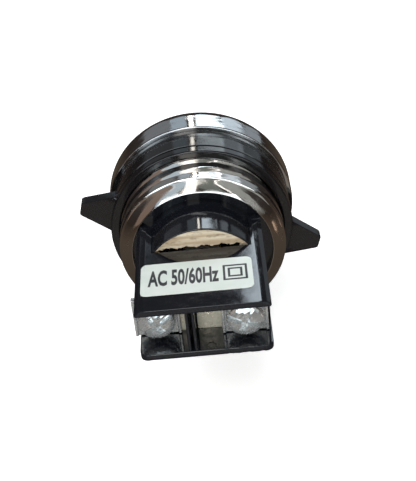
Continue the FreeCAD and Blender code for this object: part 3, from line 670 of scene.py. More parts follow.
for grip in GRIP_PLACES:
    valley = GRIP_CUT * np.exp(-((bezel_profile[:, 0] - grip) / GRIP_HALF_WIDTH) ** 2)
    bezel_profile[:, 1] -= np.where(bezel_profile[:, 1] > GRIP_INNER_LIMIT, valley, 0)
piece("bezel_finish", [turn(bezel_profile, 200)], bezel_chrome, "bezel", ["bezel_ring"])

# %% [markdown]
# ## Lens
# The lens is a moulded dome with a flange. Real lamp lenses spread the light of a small bulb with
# ribs inside, so the inner wall's radius follows a cosine of the angle, which makes a fluted wall,
# and the flutes fade towards the middle of the dome.

# %% Mould the lens
LENS_WALL = 1.6
FLUTES = 40
FLUTE_DEPTH = 0.28
FLANGE_THICKNESS = 1.07          # a hair under the bezel's lip, so the turning bezel clears it
lens_radius = 12.6
lens_side = 3.6
lens_angles = full_turn(FLUTES * 8)
flange_y = lens_low[1]
flange_top = flange_y + FLANGE_THICKNESS


def dome_profile(radius, foot, top, count=26):
    """Part of a sphere through the foot circle and the top: r = R sin, y = centre + R cos."""
    height = top - foot
    sphere = (radius ** 2 + height ** 2) / (2 * height)
    start = math.asin(min(1.0, radius / sphere))
    if height > sphere:
        start = math.pi - start
    sweep = np.linspace(start, 0.004, count)
    return [(top - sphere + sphere * math.cos(a), sphere * math.sin(a)) for a in sweep]


lens_foot = flange_y + lens_side - 0.1
outside = dome_profile(lens_radius, lens_foot, lens_high[1])
inside_top = lens_high[1] - LENS_WALL
inside_wall = dome_profile(lens_radius - LENS_WALL, lens_foot, inside_top)
flute = 0.5 - 0.5 * np.cos(FLUTES * lens_angles)
fluted = [(y, r - FLUTE_DEPTH * flute * smooth_step(r / lens_radius * 1.3 - 0.2))
          for y, r in inside_wall]
skirt = soften([(flange_y, lens_radius - LENS_WALL), (flange_y, lens_high[0]),
                (flange_top, lens_high[0]), (flange_top, lens_radius), (lens_foot, lens_radius)],
               0.15, False).tolist()
base_row = (flange_y, lens_radius - LENS_WALL - FLUTE_DEPTH * flute)
lens_rows = ([(y, r) for y, r in fluted[::-1]] + [base_row] + skirt[1:] + outside[1:])
piece("lens_finish", [turn(lens_rows, angles=lens_angles, ring=False)], lens_red, "lens", ["lens"])

# %% [markdown]
# ## Lamp body
# Behind the neck comes a round black moulding. Just inside the rim it has flat shoulders that
# match the terminal block, so its section there is a disc joined to a box. In polar form the union
# of two shapes about the same point is just the larger of their two radii, which makes this an easy
# turned shape. A ray at angle a leaves a box where the first of its four sides is met.

# %% Mould the lamp body
body_radius = 10.7
BODY_BORE = 9.5
BODY_FLANGE = body_high[0]
FLANGE_PLACE = (-13.4, -11.4)
SHOULDER_END = -15.3
RIM_WALL = 0.35
body_rear, body_front = body_low[1], body_high[1]
body_angles = full_turn(288)


def box_radius(angles, left, right, low, high):
    """Distance at which a ray from the axis leaves the box."""
    cos, sin = np.cos(angles), np.sin(angles)
    across = np.where(cos > 0, right, -left) / np.maximum(np.abs(cos), 1e-6)
    upright = np.where(sin > 0, high, -low) / np.maximum(np.abs(sin), 1e-6)
    return np.minimum(across, upright)


block_box = (block_low[0], block_high[0], floor_low[2], block_high[2])
shoulder = np.minimum(box_radius(body_angles, *block_box), rim_radius - 0.12)
shoulder = np.maximum(shoulder, body_radius)
body_profile = (
    [(body_front, BODY_BORE), (body_front, body_radius), (FLANGE_PLACE[1], body_radius),
     (FLANGE_PLACE[1], BODY_FLANGE), (FLANGE_PLACE[0], BODY_FLANGE), (FLANGE_PLACE[0], shoulder),
     (SHOULDER_END + 0.12, shoulder), (SHOULDER_END, np.maximum(shoulder - 0.12, body_radius)),
     (SHOULDER_END, body_radius)]
    + soften([(SHOULDER_END, body_radius), (body_rear, body_radius),
              (body_rear, body_radius - RIM_WALL), (board_high[1], body_radius - RIM_WALL),
              (board_high[1], BODY_BORE), (body_front, BODY_BORE)], 0.14, False).tolist()[1:-1]
)
piece("lamp_body_finish", [turn(body_profile, angles=body_angles)], body_black, "lamp_unit",
      ["lamp_body"])

# %% [markdown]
# ## End board
# A disc of pressed board closes the round body. A slot in it takes the terminal block, and the
# slot was torn rather than cut, so its upper edge is ragged. The disc's outer loop is a circle, and
# its inner loop is the slot's rectangle met by rays from the slot's own middle, pushed in and out
# by a few sine waves of unrelated lengths. Loops between the two are straight mixes of them.

# %% Cut the end board
BOARD_SLOT_HALF = 6.8
BOARD_SLOT_TOP = 6.95
RAGGED = 0.16
block_middle = (block_low[0] + block_high[0]) / 2
slot_low, slot_high = floor_high[2] - 0.3, BOARD_SLOT_TOP
slot_centre = np.array([block_middle, (slot_low + slot_high) / 2])
board_angles = full_turn(360)
rays = np.stack([np.cos(board_angles), np.sin(board_angles)], -1)
slot_ray = box_radius(board_angles, -BOARD_SLOT_HALF, BOARD_SLOT_HALF,
                      slot_low - slot_centre[1], slot_high - slot_centre[1])
slot_edge = slot_centre + rays * slot_ray[:, None]
waves = sum(np.sin(slot_edge[:, 0] * rate + shift) / rank for rank, (rate, shift) in
            enumerate([(2.1, 0.4), (5.3, 1.9), (9.7, 0.2), (17.0, 2.6)], 1))
slot_edge[:, 1] += RAGGED * waves * (slot_edge[:, 1] > 0)
board_edge = rays * board_high[0]


def board_loop(share, y):
    """Mix of the outer circle (0) and the slot's edge (1), at one place along Y."""
    flat = board_edge * (1 - share) + slot_edge * share
    return np.stack([flat[:, 0], np.full(len(flat), y), flat[:, 1]], -1)


board_rear_y, board_front_y = board_low[1], board_high[1]
board_rows = [board_loop(0.0, board_front_y), board_loop(0.0, board_rear_y + 0.08),
              board_loop(0.01, board_rear_y)]
board_rows += [board_loop(share, board_rear_y) for share in (0.3, 0.6, 0.85)]
board_rows += [board_loop(0.985, board_rear_y), board_loop(1.0, board_rear_y + 0.12),
               board_loop(1.0, board_front_y - 0.1), board_loop(0.98, board_front_y)]
piece("end_board_finish", [shell(board_rows, ring=True)], press_board, "lamp_unit", ["end_board"])

# %% [markdown]
# ## Terminal block
# The block's roof runs forward on both sides of the round body. Seen from above it is a U whose
# inner edge is the body's circle, and its outer upper edges are cut by two facets. This is built as
# a stack of U outlines from the underside up: at each height z the outer edge follows the facets,
# and the inner edge is x = sqrt(R^2 - z^2). Walls, partition ribs and the tongue that enters the end
# board are bars. They reach a little into each other and stand a hair inside the roof's sides, so
# that no two faces lie in one plane.

# %% Mould the terminal block
ROOF_THICKNESS = 1.2
SIDE_WALL = 1.2
FACETS = ((1.7, 0.0), (0.7, 0.25), (0.0, 0.8))     # (in from the side, down from the top)
HAIR = 0.03
roof_top = block_high[2]
roof_under = roof_top - ROOF_THICKNESS
left, right = block_low[0], block_high[0]
block_rear = block_low[1]
arm_front = SHOULDER_END - 0.03
body_fit = body_radius + 0.05
u_front = body_rear - 0.1
EDGE_ROUND = 0.16


def facet_inset(z):
    """How far the outer upper edge stands in from the side at a height."""
    down = [d for _, d in FACETS]
    inward = [i for i, _ in FACETS]
    return float(np.interp(roof_top - z, down, inward))


def roof_outline(z, shrink):
    """The U at one height, as (x, y) points in order round it."""
    edge_in = facet_inset(z) + shrink
    x_left, x_right = left + edge_in, right - edge_in
    inner = math.sqrt(max(body_fit ** 2 - z ** 2, 0.1))
    rear = block_rear + shrink
    corner = 0.35
    rear_corners = soften([(x_left, arm_front), (x_left, rear), (x_right, rear),
                           (x_right, arm_front)], corner, False)
    inner_points = [(min(inner + shrink, x_right - 0.2), arm_front),
                    (min(inner + shrink, x_right - 0.2), u_front - shrink),
                    (-inner - shrink, u_front - shrink), (-inner - shrink, arm_front)]
    return np.array(rear_corners.tolist() + inner_points)


roof_heights = [(roof_under, EDGE_ROUND), (roof_under + EDGE_ROUND * 0.3, EDGE_ROUND * 0.3),
                (roof_under + EDGE_ROUND, 0.0), (roof_top - 0.82, 0.0), (roof_top - 0.78, 0.0),
                (roof_top - 0.27, 0.0), (roof_top - 0.23, 0.0), (roof_top - 0.05, 0.02),
                (roof_top, 0.09)]
roof_rows = []
for height, shrink in roof_heights:
    outline = roof_outline(height, shrink)
    roof_rows.append(np.column_stack([outline, np.full(len(outline), height)]))
roof = shell(roof_rows)


def arm(side):
    """One arm beside the body, below the roof: a thin wall whose inner side is the circle."""
    outer_x = (left + HAIR) if side < 0 else (right - HAIR)
    heights = np.linspace(floor_low[2], roof_under + 0.1, 24)
    circle = np.sqrt(body_fit ** 2 - heights ** 2)
    inner_x = -circle if side < 0 else np.minimum(circle, outer_x - 0.12)
    rows = [[(outer_x, arm_front, z), (x, arm_front, z), (x, u_front - 0.3, z),
             (outer_x, u_front - 0.3, z)] for x, z in zip(inner_x, heights)]
    return shell(rows)


BAY_WALL = -31.5                 # rear face of the wall that ends the terminal bay
BAY_WALL_THICKNESS = 1.4
FRONT_WALL_THICKNESS = 1.3
TONGUE_HALF_WIDTH = 6.5
TONGUE_LENGTH = 1.1
RIB_PLACES = (-3.0, -2.0)
RIB_THICKNESS = 0.5
RIB_SETBACK = 0.3
floor_top = floor_high[2]
upright = (floor_top - 0.2, roof_under + 0.2)
left_wall = bar(rectangle((left + HAIR, BAY_WALL), (left + SIDE_WALL, u_front), 0.2),
                *upright, axis=2, edge=0.05)
right_wall = bar(rectangle((right - SIDE_WALL, BAY_WALL), (right - HAIR, u_front), 0.2),
                 *upright, axis=2, edge=0.05)
bay_back = bar(rectangle((left + 0.2, BAY_WALL), (right - 0.2, BAY_WALL + BAY_WALL_THICKNESS), 0.1),
               *upright, axis=2, edge=0.05)
front_wall = bar(rectangle((left + 0.2, u_front - FRONT_WALL_THICKNESS), (right - 0.2, u_front - HAIR),
                           0.1), *upright, axis=2, edge=0.05)
tongue = bar(rectangle((block_middle - TONGUE_HALF_WIDTH, floor_top), (block_middle + TONGUE_HALF_WIDTH,
                       roof_under), 0.3), u_front - 0.4, u_front + TONGUE_LENGTH, 1, 0.2)
ribs = [bar(rectangle((x - RIB_THICKNESS / 2, block_rear + RIB_SETBACK),
                      (x + RIB_THICKNESS / 2, BAY_WALL + 0.3), 0.18), *upright, axis=2, edge=0.05)
        for x in RIB_PLACES]
piece("terminal_block_finish",
      [roof, arm(-1), arm(1), left_wall, right_wall, bay_back, front_wall, tongue, *ribs],
      body_black, "lamp_unit", ["terminal_block"])

# %% [markdown]
# ## Floor plate
# A flat plate closes the block below. Its two rear corners are rounded and its rear edge is a
# little ragged, because the sprue that fed the mould was broken off there. Rows along Z with a
# rounded edge make the plate, and the rear edge's points are pushed by a small sine sum.

# %% Mould the floor plate
FLOOR_CORNER = 1.5
floor_outline = soften([(left, floor_low[1]), (right, floor_low[1]), (right, floor_high[1]),
                        (left, floor_high[1])], [FLOOR_CORNER, FLOOR_CORNER, 0.3, 0.3], steps=9)
rear_edge = np.linspace(left + FLOOR_CORNER + 0.1, right - FLOOR_CORNER - 0.1, 60)
rear_wobble = 0.05 * (np.sin(rear_edge * 2.3) + np.sin(rear_edge * 5.9 + 1) / 2) * (rear_edge > 3)
rear_points = np.column_stack([rear_edge, floor_low[1] + 0.04 + rear_wobble])
is_rear = (np.abs(floor_outline[:, 1] - floor_low[1]) < 1e-6)
first = floor_outline[:np.flatnonzero(is_rear)[0] + 1]
last = floor_outline[np.flatnonzero(is_rear)[-1]:]
floor_outline = np.concatenate([first, rear_points, last])
piece("floor_plate_finish", [bar(floor_outline, floor_low[2], floor_high[2], 2, 0.16, 5)],
      body_black, "lamp_unit", ["floor_plate"])

# %% [markdown]
# ## Terminals
# Each terminal is a stack: a contact plate, a square washer with turned-up lips, a split spring
# washer and the screw. The plates and washers are stamped, so they are bars with a small rounding.
# The washer's section is a shallow U, drawn in x and y and carried along Z.

# %% Stamp the plates and the square washers
for side in ("left", "right"):
    low, high = corners("terminal_plate_" + side)
    plate = bar(rectangle((low[0], low[2]), (high[0], high[2]), 0.35), low[1], high[1], 1, 0.12)
    piece("contact_plate_" + side, [plate], nickel, "lamp_unit", ["terminal_plate_" + side])
    low, high = corners("square_washer_" + side)
    lip, step = 0.45, (high[1] - low[1]) / 3
    section = soften([(low[0], high[1]), (high[0], high[1]), (high[0], low[1]),
                      (high[0] - lip, low[1]), (high[0] - lip, low[1] + step),
                      (low[0] + lip, low[1] + step), (low[0] + lip, low[1]), (low[0], low[1])],
                     0.12, steps=4)
    piece("square_washer_finish_" + side, [bar(section, low[2], high[2], 2, 0.10)], zinc,
          "washers_" + side, ["square_washer_" + side])

# %% [markdown]
# ## Spring washers
# A spring washer is one turn of square wire with its ends sheared and sprung apart. It is a bar
# bent into a helix: the section stays a small rounded rectangle, and along the turn each row is
# placed at (R cos a, a rise in proportion to a, R sin a).

# %% Wind the spring washers
SPRING_BORE = 1.55
SPRING_RISE = 0.1                # how far the sheared ends stand apart

for side in ("left", "right"):
    low, high = corners("spring_washer_" + side)
    x, z = (low[0] + high[0]) / 2, (low[2] + high[2]) / 2
    outer_radius = (high[0] - low[0]) / 2
    section = rectangle((low[1], SPRING_BORE), (high[1] - SPRING_RISE, outer_radius), 0.12, 4)
    sweep = np.linspace(0.10, 2 * math.pi - 0.10, 96)
    rows = [np.column_stack([x + section[:, 1] * math.cos(a),
                             section[:, 0] + SPRING_RISE * a / (2 * math.pi),
                             z + section[:, 1] * math.sin(a)]) for a in sweep]
    piece("spring_washer_finish_" + side, [shell(rows)], zinc, "washers_" + side,
          ["spring_washer_" + side])

# %% [markdown]
# ## Screws
# The screw is one turned shape: shank with thread, head, and domed crown. The crown is a height
# field over radius and angle, so the recess for the driver is cut by lowering the points that lie
# within the slot and the cross. A smooth step at the walls keeps them clean on the fine grid, and a
# few shallow dents from slipped drivers make the metal sparkle.

# %% Turn the screws
SCREW_RADIUS = 1.45
HEAD_HEIGHT, HEAD_EDGE = 2.1, 0.9
DRIVER_SLOT_HALF = 0.42
CROSS_HALF_WIDTH = 0.50
CROSS_HALF_LENGTH = 1.75
RECESS_DEPTH = 1.05
THREAD_DEPTH = 0.22
DENT_DEPTH = 0.026
SCREW_PITCH = 0.5
SCREW_TURN = {"left": math.radians(35), "right": math.radians(-20)}
screw_angles = full_turn(176)


def recess(r, a, turned):
    """Depth of the driver's recess at polar place (r, a): a full slot and a short cross arm."""
    along, across = r * np.cos(a - turned), r * np.sin(a - turned)
    slot = smooth_step((DRIVER_SLOT_HALF - np.abs(across)) / 0.10 + 0.5)
    arm_width = smooth_step((CROSS_HALF_WIDTH - np.abs(along)) / 0.10 + 0.5)
    arm_end = smooth_step((CROSS_HALF_LENGTH - np.abs(across)) / 0.14 + 0.5)
    return RECESS_DEPTH * np.maximum(slot * 0.8, arm_width * arm_end)


def dents(r, a):
    """Shallow waves over the crown, from slipped drivers."""
    u, v = r * np.cos(a), r * np.sin(a)
    return DENT_DEPTH * (np.sin(3.1 * u + 1.2 * v) * np.sin(2.3 * v - 1.7 * u + 0.8)
                         + 0.6 * np.sin(5.9 * u - 2.2 * v + 2.0) * np.sin(4.7 * v + 0.5))


def screw_shape(side):
    """Rows from the middle of the crown over the edge of the head and down the shank."""
    low, high = corners("terminal_screw_" + side)
    x, z = (low[0] + high[0]) / 2, (low[2] + high[2]) / 2
    head_radius = (high[0] - low[0]) / 2
    top, tip = low[1], high[1]
    seat = top + HEAD_HEIGHT
    radius = np.linspace(0.02, head_radius - 0.12, 56)
    share = radius / head_radius
    crown = top + (HEAD_HEIGHT - HEAD_EDGE) * (1 - np.sqrt(1 - (share * 0.97) ** 2))
    angles = screw_angles[None, :]
    y = (crown[:, None] + recess(radius[:, None], angles, SCREW_TURN[side])
         + dents(radius[:, None], angles) * smooth_step(radius / 0.6)[:, None])
    crown_rows = np.stack([x + radius[:, None] * np.cos(angles), y,
                           z + radius[:, None] * np.sin(angles)], -1)
    edge_y = np.maximum(y[-1] + 0.10, seat - HEAD_EDGE + 0.1)
    edge_rows = []
    for r, row_y in [(head_radius, edge_y), (head_radius, seat - 0.1), (head_radius - 0.1, seat),
                     (SCREW_RADIUS + 0.05, seat)]:
        row_y = np.broadcast_to(row_y, screw_angles.shape)
        edge_rows.append(np.stack([x + r * np.cos(screw_angles), row_y,
                                   z + r * np.sin(screw_angles)], -1))
    shank_y = np.arange(seat + 0.05, tip - 0.35, 0.08)
    phase = (shank_y[:, None] / SCREW_PITCH + screw_angles[None, :] / (2 * math.pi)) % 1
    shank_r = SCREW_RADIUS - THREAD_DEPTH * np.abs(2 * phase - 1)
    shank_rows = np.stack([x + shank_r * np.cos(angles),
                           np.broadcast_to(shank_y[:, None], shank_r.shape),
                           z + shank_r * np.sin(angles)], -1)
    end_r = SCREW_RADIUS - 0.45
    end_row = np.stack([x + end_r * np.cos(screw_angles), np.full(len(screw_angles), tip),
                        z + end_r * np.sin(screw_angles)], -1)
    return shell(np.concatenate([crown_rows, edge_rows, shank_rows, end_row[None]]))


for side in ("left", "right"):
    piece("terminal_screw_finish_" + side, [screw_shape(side)], zinc, "screw_" + side,
          ["terminal_screw_" + side])

# %% [markdown]
# ## Rivets
# Rivets fix the plates to the block. The right one is an eyelet with a rolled edge, which shows as
# a small bright ring with a dark middle. The left one is set flush. Both are turned profiles.

# %% Turn the rivets
RIVETS = {"left": (-4.2, 3.4), "right": (0.3, 1.5)}     # x and z of each
plate_rear = corners("terminal_plate_right")[0][1]
rivet_tail = corners("terminal_rivets")[1][1]
rivet_shells = []
for side, (x, z) in RIVETS.items():
    if side == "right":
        profile = [(plate_rear + 0.35, 0.02), (plate_rear + 0.35, 0.42)]
        profile += soften([(plate_rear + 0.35, 0.42), (plate_rear - 0.35, 0.50),
                           (plate_rear - 0.33, 0.80), (plate_rear - 0.02, 0.98),
                           (plate_rear + 0.05, 0.70)], 0.16, False, 6).tolist()[1:]
    else:
        profile = [(plate_rear - 0.06, 0.02), (plate_rear - 0.05, 0.60), (plate_rear + 0.02, 0.69)]
    profile += [(rivet_tail - 1.05, 0.70), (rivet_tail - 1.0, 0.92), (rivet_tail - 0.5, 0.72),
                (rivet_tail, 0.68), (rivet_tail, 0.02)]
    rivet_shells.append(turn(profile, 48, x, z, ring=False))
piece("rivets_finish", rivet_shells, nickel, "lamp_unit", ["terminal_rivets"])

# %% [markdown]
# ## Rating label
# The label is a thin film stuck on the roof, a little too far to the left, so its edge bends over
# the facet. A flat outline with thickness could not bend, so the label is built as sections across
# it: for each place along X, a thin rectangle whose half length follows the round corners, and whose
# height follows the roof.

# %% Cut the label
LABEL_CORNER = 1.0
FILM_THICKNESS = 0.09
LABEL_OVERHANG = 0.75            # how far the film runs onto the left facet
label_left, label_right = label_low[0] - LABEL_OVERHANG, label_high[0]
label_middle = (label_low[1] + label_high[1]) / 2
label_half = (label_high[1] - label_low[1]) / 2
facet_start = left + FACETS[0][0]
facet_slope = FACETS[1][1] / (FACETS[0][0] - FACETS[1][0])


def roof_drop(x):
    """How far the roof's left facet lies below the flat at a place along X."""
    return np.clip(facet_start - x, 0, None) * facet_slope


corner_steps = LABEL_CORNER * (1 - np.cos(np.linspace(0, math.pi / 2, 9)))
label_x = np.unique(np.round(np.concatenate(
    [label_left + corner_steps, [facet_start - 0.1, facet_start, facet_start + 0.1],
     np.linspace(label_left + 1.2, label_right - 1.2, 24), label_right - corner_steps]), 4))
from_end = np.minimum(label_x - label_left, label_right - label_x)
corner_cut = LABEL_CORNER - np.sqrt(np.clip(LABEL_CORNER ** 2
                                            - np.clip(LABEL_CORNER - from_end, 0, None) ** 2, 0, None))
half_length = label_half - corner_cut
label_base = roof_top - roof_drop(label_x) + 0.005
label_rows = []
for x, half, base in zip(label_x, half_length, label_base):
    side_top, film_top = base + FILM_THICKNESS * 0.7, base + FILM_THICKNESS
    section = [(-half, base), (half, base), (half, side_top), (half - 0.04, film_top),
               (-half + 0.04, film_top), (-half, side_top)]
    label_rows.append([(x, label_middle + y, z) for y, z in section])
piece("rating_label_finish", [shell(label_rows)], label_white, "lamp_unit", ["rating_label"])

# %% [markdown]
# ## Print on the label
# The print is generic: the kind of supply, and a double square, the common sign for a doubly
# insulated device. Letters are made as a text curve, turned into a mesh while the curve still lies
# at the origin, and then laid on the label. The sign is two square frames, each a bar with a
# square hole, made from rows of squares.

# %% Print the label
PRINT_TEXT = "AC 50/60Hz"
PRINT_LEFT = -8.95
PRINT_WIDTH = 11.6
PRINT_HEIGHT = 4.3
PRINT_BASE = label_middle - 1.95
PRINT_RELIEF = 0.012
PRINT_BOLDNESS = 0.032           # letters' outlines pushed outwards, in the font's own units
print_z = roof_top + FILM_THICKNESS + 0.004


def lay_text(text, x, y, width, height, thickness):
    """Text as shells: stretched to a width and a height, lying flat with its base line at y."""
    curve = bpy.data.curves.new("print_curve", "FONT")
    curve.body = text
    curve.offset = PRINT_BOLDNESS
    curve.extrude = 0.5
    curve.resolution_u = 3
    holder = bpy.data.objects.new("print_curve", curve)
    bpy.context.scene.collection.objects.link(holder)
    bpy.context.view_layer.update()
    mesh = bpy.data.meshes.new_from_object(holder)
    points = np.empty(len(mesh.vertices) * 3)
    mesh.vertices.foreach_get("co", points)
    points = points.reshape(-1, 3)
    faces = [list(polygon.vertices) for polygon in mesh.polygons]
    bpy.data.objects.remove(holder)
    bpy.data.curves.remove(curve)
    bpy.data.meshes.remove(mesh)
    low, high = points.min(0), points.max(0)
    size = np.array([width, height, thickness]) / (high - low)
    return (points - low) * size + np.array([x, y, print_z]), faces


def square_frame(x, y, half, stroke):
    """A square frame from four loops: inner and outer squares, below and above."""
    square = np.array([(-1, -1), (1, -1), (1, 1), (-1, 1)], float)
    loops = [(half, 0), (half, PRINT_RELIEF), (half - stroke, PRINT_RELIEF), (half - stroke, 0)]
    rows = [np.column_stack([x + square[:, 0] * h, y + square[:, 1] * h, np.full(4, print_z + rise)])
            for h, rise in loops]
    return shell(rows, ring=True)


SIGN_X, SIGN_HALF, SIGN_STROKE = 5.35, 2.0, 0.38
sign_y = PRINT_BASE + PRINT_HEIGHT / 2
print_shells = [
    lay_text(PRINT_TEXT, PRINT_LEFT, PRINT_BASE, PRINT_WIDTH, PRINT_HEIGHT, PRINT_RELIEF),
    square_frame(SIGN_X, sign_y, SIGN_HALF, SIGN_STROKE),
    square_frame(SIGN_X, sign_y, SIGN_HALF * 0.60, SIGN_STROKE),
]
piece("label_print", print_shells, print_black, "lamp_unit")

# %% [markdown]
# ## Pieces that keep the frame's shape
# The transformer, its leads, the retaining ring, the lamp holder and the bulb sit inside and have
# the right shape already. They only need their finish, which goes into their material slots. Their
# meshes are left as they are.

# %% Finish the inner pieces
INNER_FINISH = {
    "retaining_ring": brass, "bulb_holder": brass, "contact_plunger": brass,
    "lead_wires": lead_red, "transformer_core": core_steel, "coil_bobbin": bobbin_nylon,
    "primary_winding": copper, "secondary_winding": copper, "coil_tape": coil_tape,
    "holder_insulator": fibre_board, "bulb_cap": nickel, "bulb_contact": solder,
    "bulb_glass": bulb_glass, "bulb_filament": tungsten, "contact_spring": spring_steel,
}
for node, finish in INNER_FINISH.items():
    mesh = frame["nodes"][node].data
    mesh.materials.clear()
    mesh.materials.append(finish)
print("finished", len(INNER_FINISH), "inner pieces")

# %% [markdown]
# ## Floor and surroundings
# A pale floor lies a little below the lamp. Chrome mirrors whatever surrounds it, so the room
# matters as much as the metal: a dark room, warm below and slightly cool above, gives it contrast.
# The floor is kept out of glossy reflections, since a white floor would make the chrome flat white.

# %% Lay the floor and set the room
FLOOR_GAP = 4.0
FLOOR_GLOW = 0.72                # the floor's own light, which keeps it pale in a dark room
floor_z = (-neck_high[0] - FLOOR_GAP) * MM
stage_mesh = bpy.data.meshes.new("studio_floor")
reach = 3.0
stage_mesh.from_pydata([(-reach, -reach, floor_z), (reach, -reach, floor_z), (reach, reach, floor_z),
                        (-reach, reach, floor_z)], [], [(0, 1, 2, 3)])
studio_floor = bpy.data.objects.new("studio_floor", stage_mesh)
bpy.context.scene.collection.objects.link(studio_floor)
pale = plain("studio_pale", (0.90, 0.90, 0.90), 0.9)
shader_of(pale).inputs["Emission Color"].default_value = (1, 1, 1, 1)
shader_of(pale).inputs["Emission Strength"].default_value = FLOOR_GLOW
stage_mesh.materials.append(pale)
studio_floor.visible_glossy = False

world = bpy.data.worlds.new("room")
bpy.context.scene.world = world
world.use_nodes = True
room = world.node_tree.nodes
direction = room.new("ShaderNodeTexCoord")
split = room.new("ShaderNodeSeparateXYZ")
height_share = room.new("ShaderNodeMapRange")
height_share.inputs["From Min"].default_value = -1.0
ramp = room.new("ShaderNodeValToRGB")
room_links = world.node_tree.links
room_links.new(direction.outputs["Generated"], split.inputs["Vector"])
room_links.new(split.outputs["Z"], height_share.inputs["Value"])
room_links.new(height_share.outputs["Result"], ramp.inputs["Fac"])
room_links.new(ramp.outputs["Color"], room["Background"].inputs["Color"])
ROOM_TONES = [(0.00, (0.06, 0.05, 0.04)), (0.30, (0.08, 0.06, 0.045)), (0.46, (0.030, 0.022, 0.018)),
              (0.56, (0.036, 0.030, 0.028)), (0.70, (0.050, 0.046, 0.044)), (0.86, (0.080, 0.078, 0.078)),
              (1.00, (0.080, 0.085, 0.090))]
while len(ramp.color_ramp.elements) < len(ROOM_TONES):
    ramp.color_ramp.elements.new(0.5)
for element, (place, tone) in zip(ramp.color_ramp.elements, ROOM_TONES):
    element.position = place
    element.color = (*tone, 1)
room["Background"].inputs["Strength"].default_value = 1.0

# %% [markdown]
# ## Lights
# Two soft lights, one above and one behind the terminals, light the dull surfaces and are kept out
# of the mirrors. All the others are there to be mirrored, as the walls and windows of a room are.
# Those on the bezel's side draw the strip and the window along the tops of the round parts. Those
# high on the terminals' side are for the neck's conical end, and the low ones there are for the
# faces that look to the rear. `aim` puts a light in a direction and turns it to face the object.

# %% Place the lights
LAMP_MIDDLE = Vector((0, -0.018, 0))
LAMP_DISTANCE = 0.8


def aim(name, towards, size, brightness, colour, mirrored=True):
    """Soft rectangular light in one direction from the object, facing it, with a set brightness.

    Its power is the brightness times its area times pi. A light that isn't mirrored lights the
    surfaces but doesn't show in the glossy ones.
    """
    data = bpy.data.lights.new(name, "AREA")
    data.shape = "RECTANGLE"
    data.size, data.size_y = size
    data.energy = brightness * size[0] * size[1] * math.pi
    data.color = colour
    light = bpy.data.objects.new(name, data)
    bpy.context.scene.collection.objects.link(light)
    ray = Vector(towards).normalized()
    light.location = LAMP_MIDDLE + ray * LAMP_DISTANCE
    light.rotation_euler = ray.to_track_quat("Z", "Y").to_euler()
    light.visible_camera = False
    light.visible_glossy = mirrored


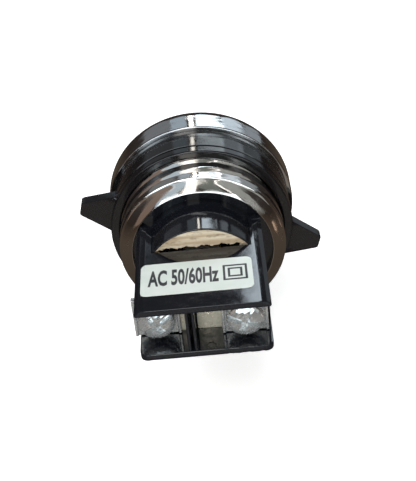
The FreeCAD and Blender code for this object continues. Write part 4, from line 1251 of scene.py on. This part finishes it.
# name, direction, size in metres, brightness, colour, and False if it isn't mirrored
LIGHTS = [
    ("soft_top", (-0.25, -0.20, 1.0), (0.7, 0.7), 3.6, (0.97, 0.98, 1.0), False),
    ("rear_fill", (-0.05, -0.97, 0.08), (0.3, 0.2), 18.0, (1.0, 0.95, 0.86), False),
    ("strip", (-0.035, 0.83, 0.53), (0.030, 0.13), 8.0, (1.0, 0.95, 0.86)),
    ("window_high", (0.16, 0.78, 0.64), (0.22, 0.16), 4.6, (0.80, 0.91, 1.0)),
    ("window_low", (0.15, 0.80, 0.42), (0.24, 0.09), 2.0, (0.84, 0.95, 1.0)),
    ("left_sky", (-0.16, 0.80, 0.46), (0.13, 0.20), 0.42, (0.72, 0.88, 1.0)),
    ("left_haze", (-0.42, 0.83, 0.31), (0.28, 0.26), 0.16, (0.86, 0.93, 1.0)),
    ("right_haze", (0.36, 0.83, 0.33), (0.16, 0.20), 0.80, (0.78, 0.90, 1.0)),
    ("right_end", (0.56, 0.83, 0.15), (0.20, 0.26), 0.30, (0.80, 0.92, 1.0)),
    ("rear_brown", (-0.68, -0.65, 0.34), (0.30, 0.85), 0.17, (1.0, 0.72, 0.56)),
    ("rear_sky", (-0.39, -0.73, 0.56), (0.20, 0.85), 0.60, (0.70, 0.88, 1.0)),
    ("rear_strip", (-0.105, -0.76, 0.63), (0.18, 0.85), 1.8, (1.0, 0.97, 0.92)),
    ("zenith", (-0.03, -0.02, 1.0), (0.10, 0.40), 1.6, (0.92, 0.97, 1.0)),
    ("rear_green", (0.18, -0.76, 0.62), (0.24, 0.85), 0.13, (0.86, 1.0, 0.88)),
    ("rear_line", (0.395, -0.739, 0.546), (0.022, 0.85), 2.6, (1.0, 1.0, 0.96)),
    ("rear_grey", (0.62, -0.68, 0.38), (0.30, 0.85), 0.30, (0.94, 1.0, 0.96)),
    ("peach_patch", (0.86, -0.40, -0.32), (0.10, 0.10), 0.9, (1.0, 0.70, 0.50)),
    ("low_wall", (0.0, -0.96, 0.14), (0.90, 0.30), 2.0, (0.86, 0.95, 1.0)),
    ("low_glow", (-0.05, -0.83, -0.55), (0.60, 0.34), 0.14, (1.0, 0.94, 0.84)),
]
for light_row in LIGHTS:
    aim(*light_row)
print(len(LIGHTS), "lights")

# %% [markdown]
# ## Camera
# The camera looks down on the terminals from behind the panel. Its place and its three turns are
# given as a person would say them: yaw left, pitch down, roll, and a long lens. The rotation's
# columns are the camera's right, up and backward directions.

# %% Set up the camera
CAMERA_PLACE = (5.107, -159.07, 105.86)
CAMERA_YAW, CAMERA_PITCH, CAMERA_ROLL = 0.028, 0.621, -0.106
CAMERA_LENS = 74.84

look = Vector((-math.sin(CAMERA_YAW) * math.cos(CAMERA_PITCH),
               math.cos(CAMERA_YAW) * math.cos(CAMERA_PITCH), -math.sin(CAMERA_PITCH)))
level = Vector((math.cos(CAMERA_YAW), math.sin(CAMERA_YAW), 0))
above = level.cross(look)
to_right = math.cos(CAMERA_ROLL) * level + math.sin(CAMERA_ROLL) * above
to_top = -math.sin(CAMERA_ROLL) * level + math.cos(CAMERA_ROLL) * above
camera_data = bpy.data.cameras.new("camera")
camera_data.lens = CAMERA_LENS
camera_data.sensor_width = 36
camera_data.clip_start = 0.01
camera = bpy.data.objects.new("camera", camera_data)
turned = Matrix((to_right, to_top, -look)).transposed().to_4x4()
turned.translation = Vector(CAMERA_PLACE) * MM
camera.matrix_world = turned
bpy.context.scene.collection.objects.link(camera)
bpy.context.scene.camera = camera
bpy.context.scene.view_settings.view_transform = "Standard"
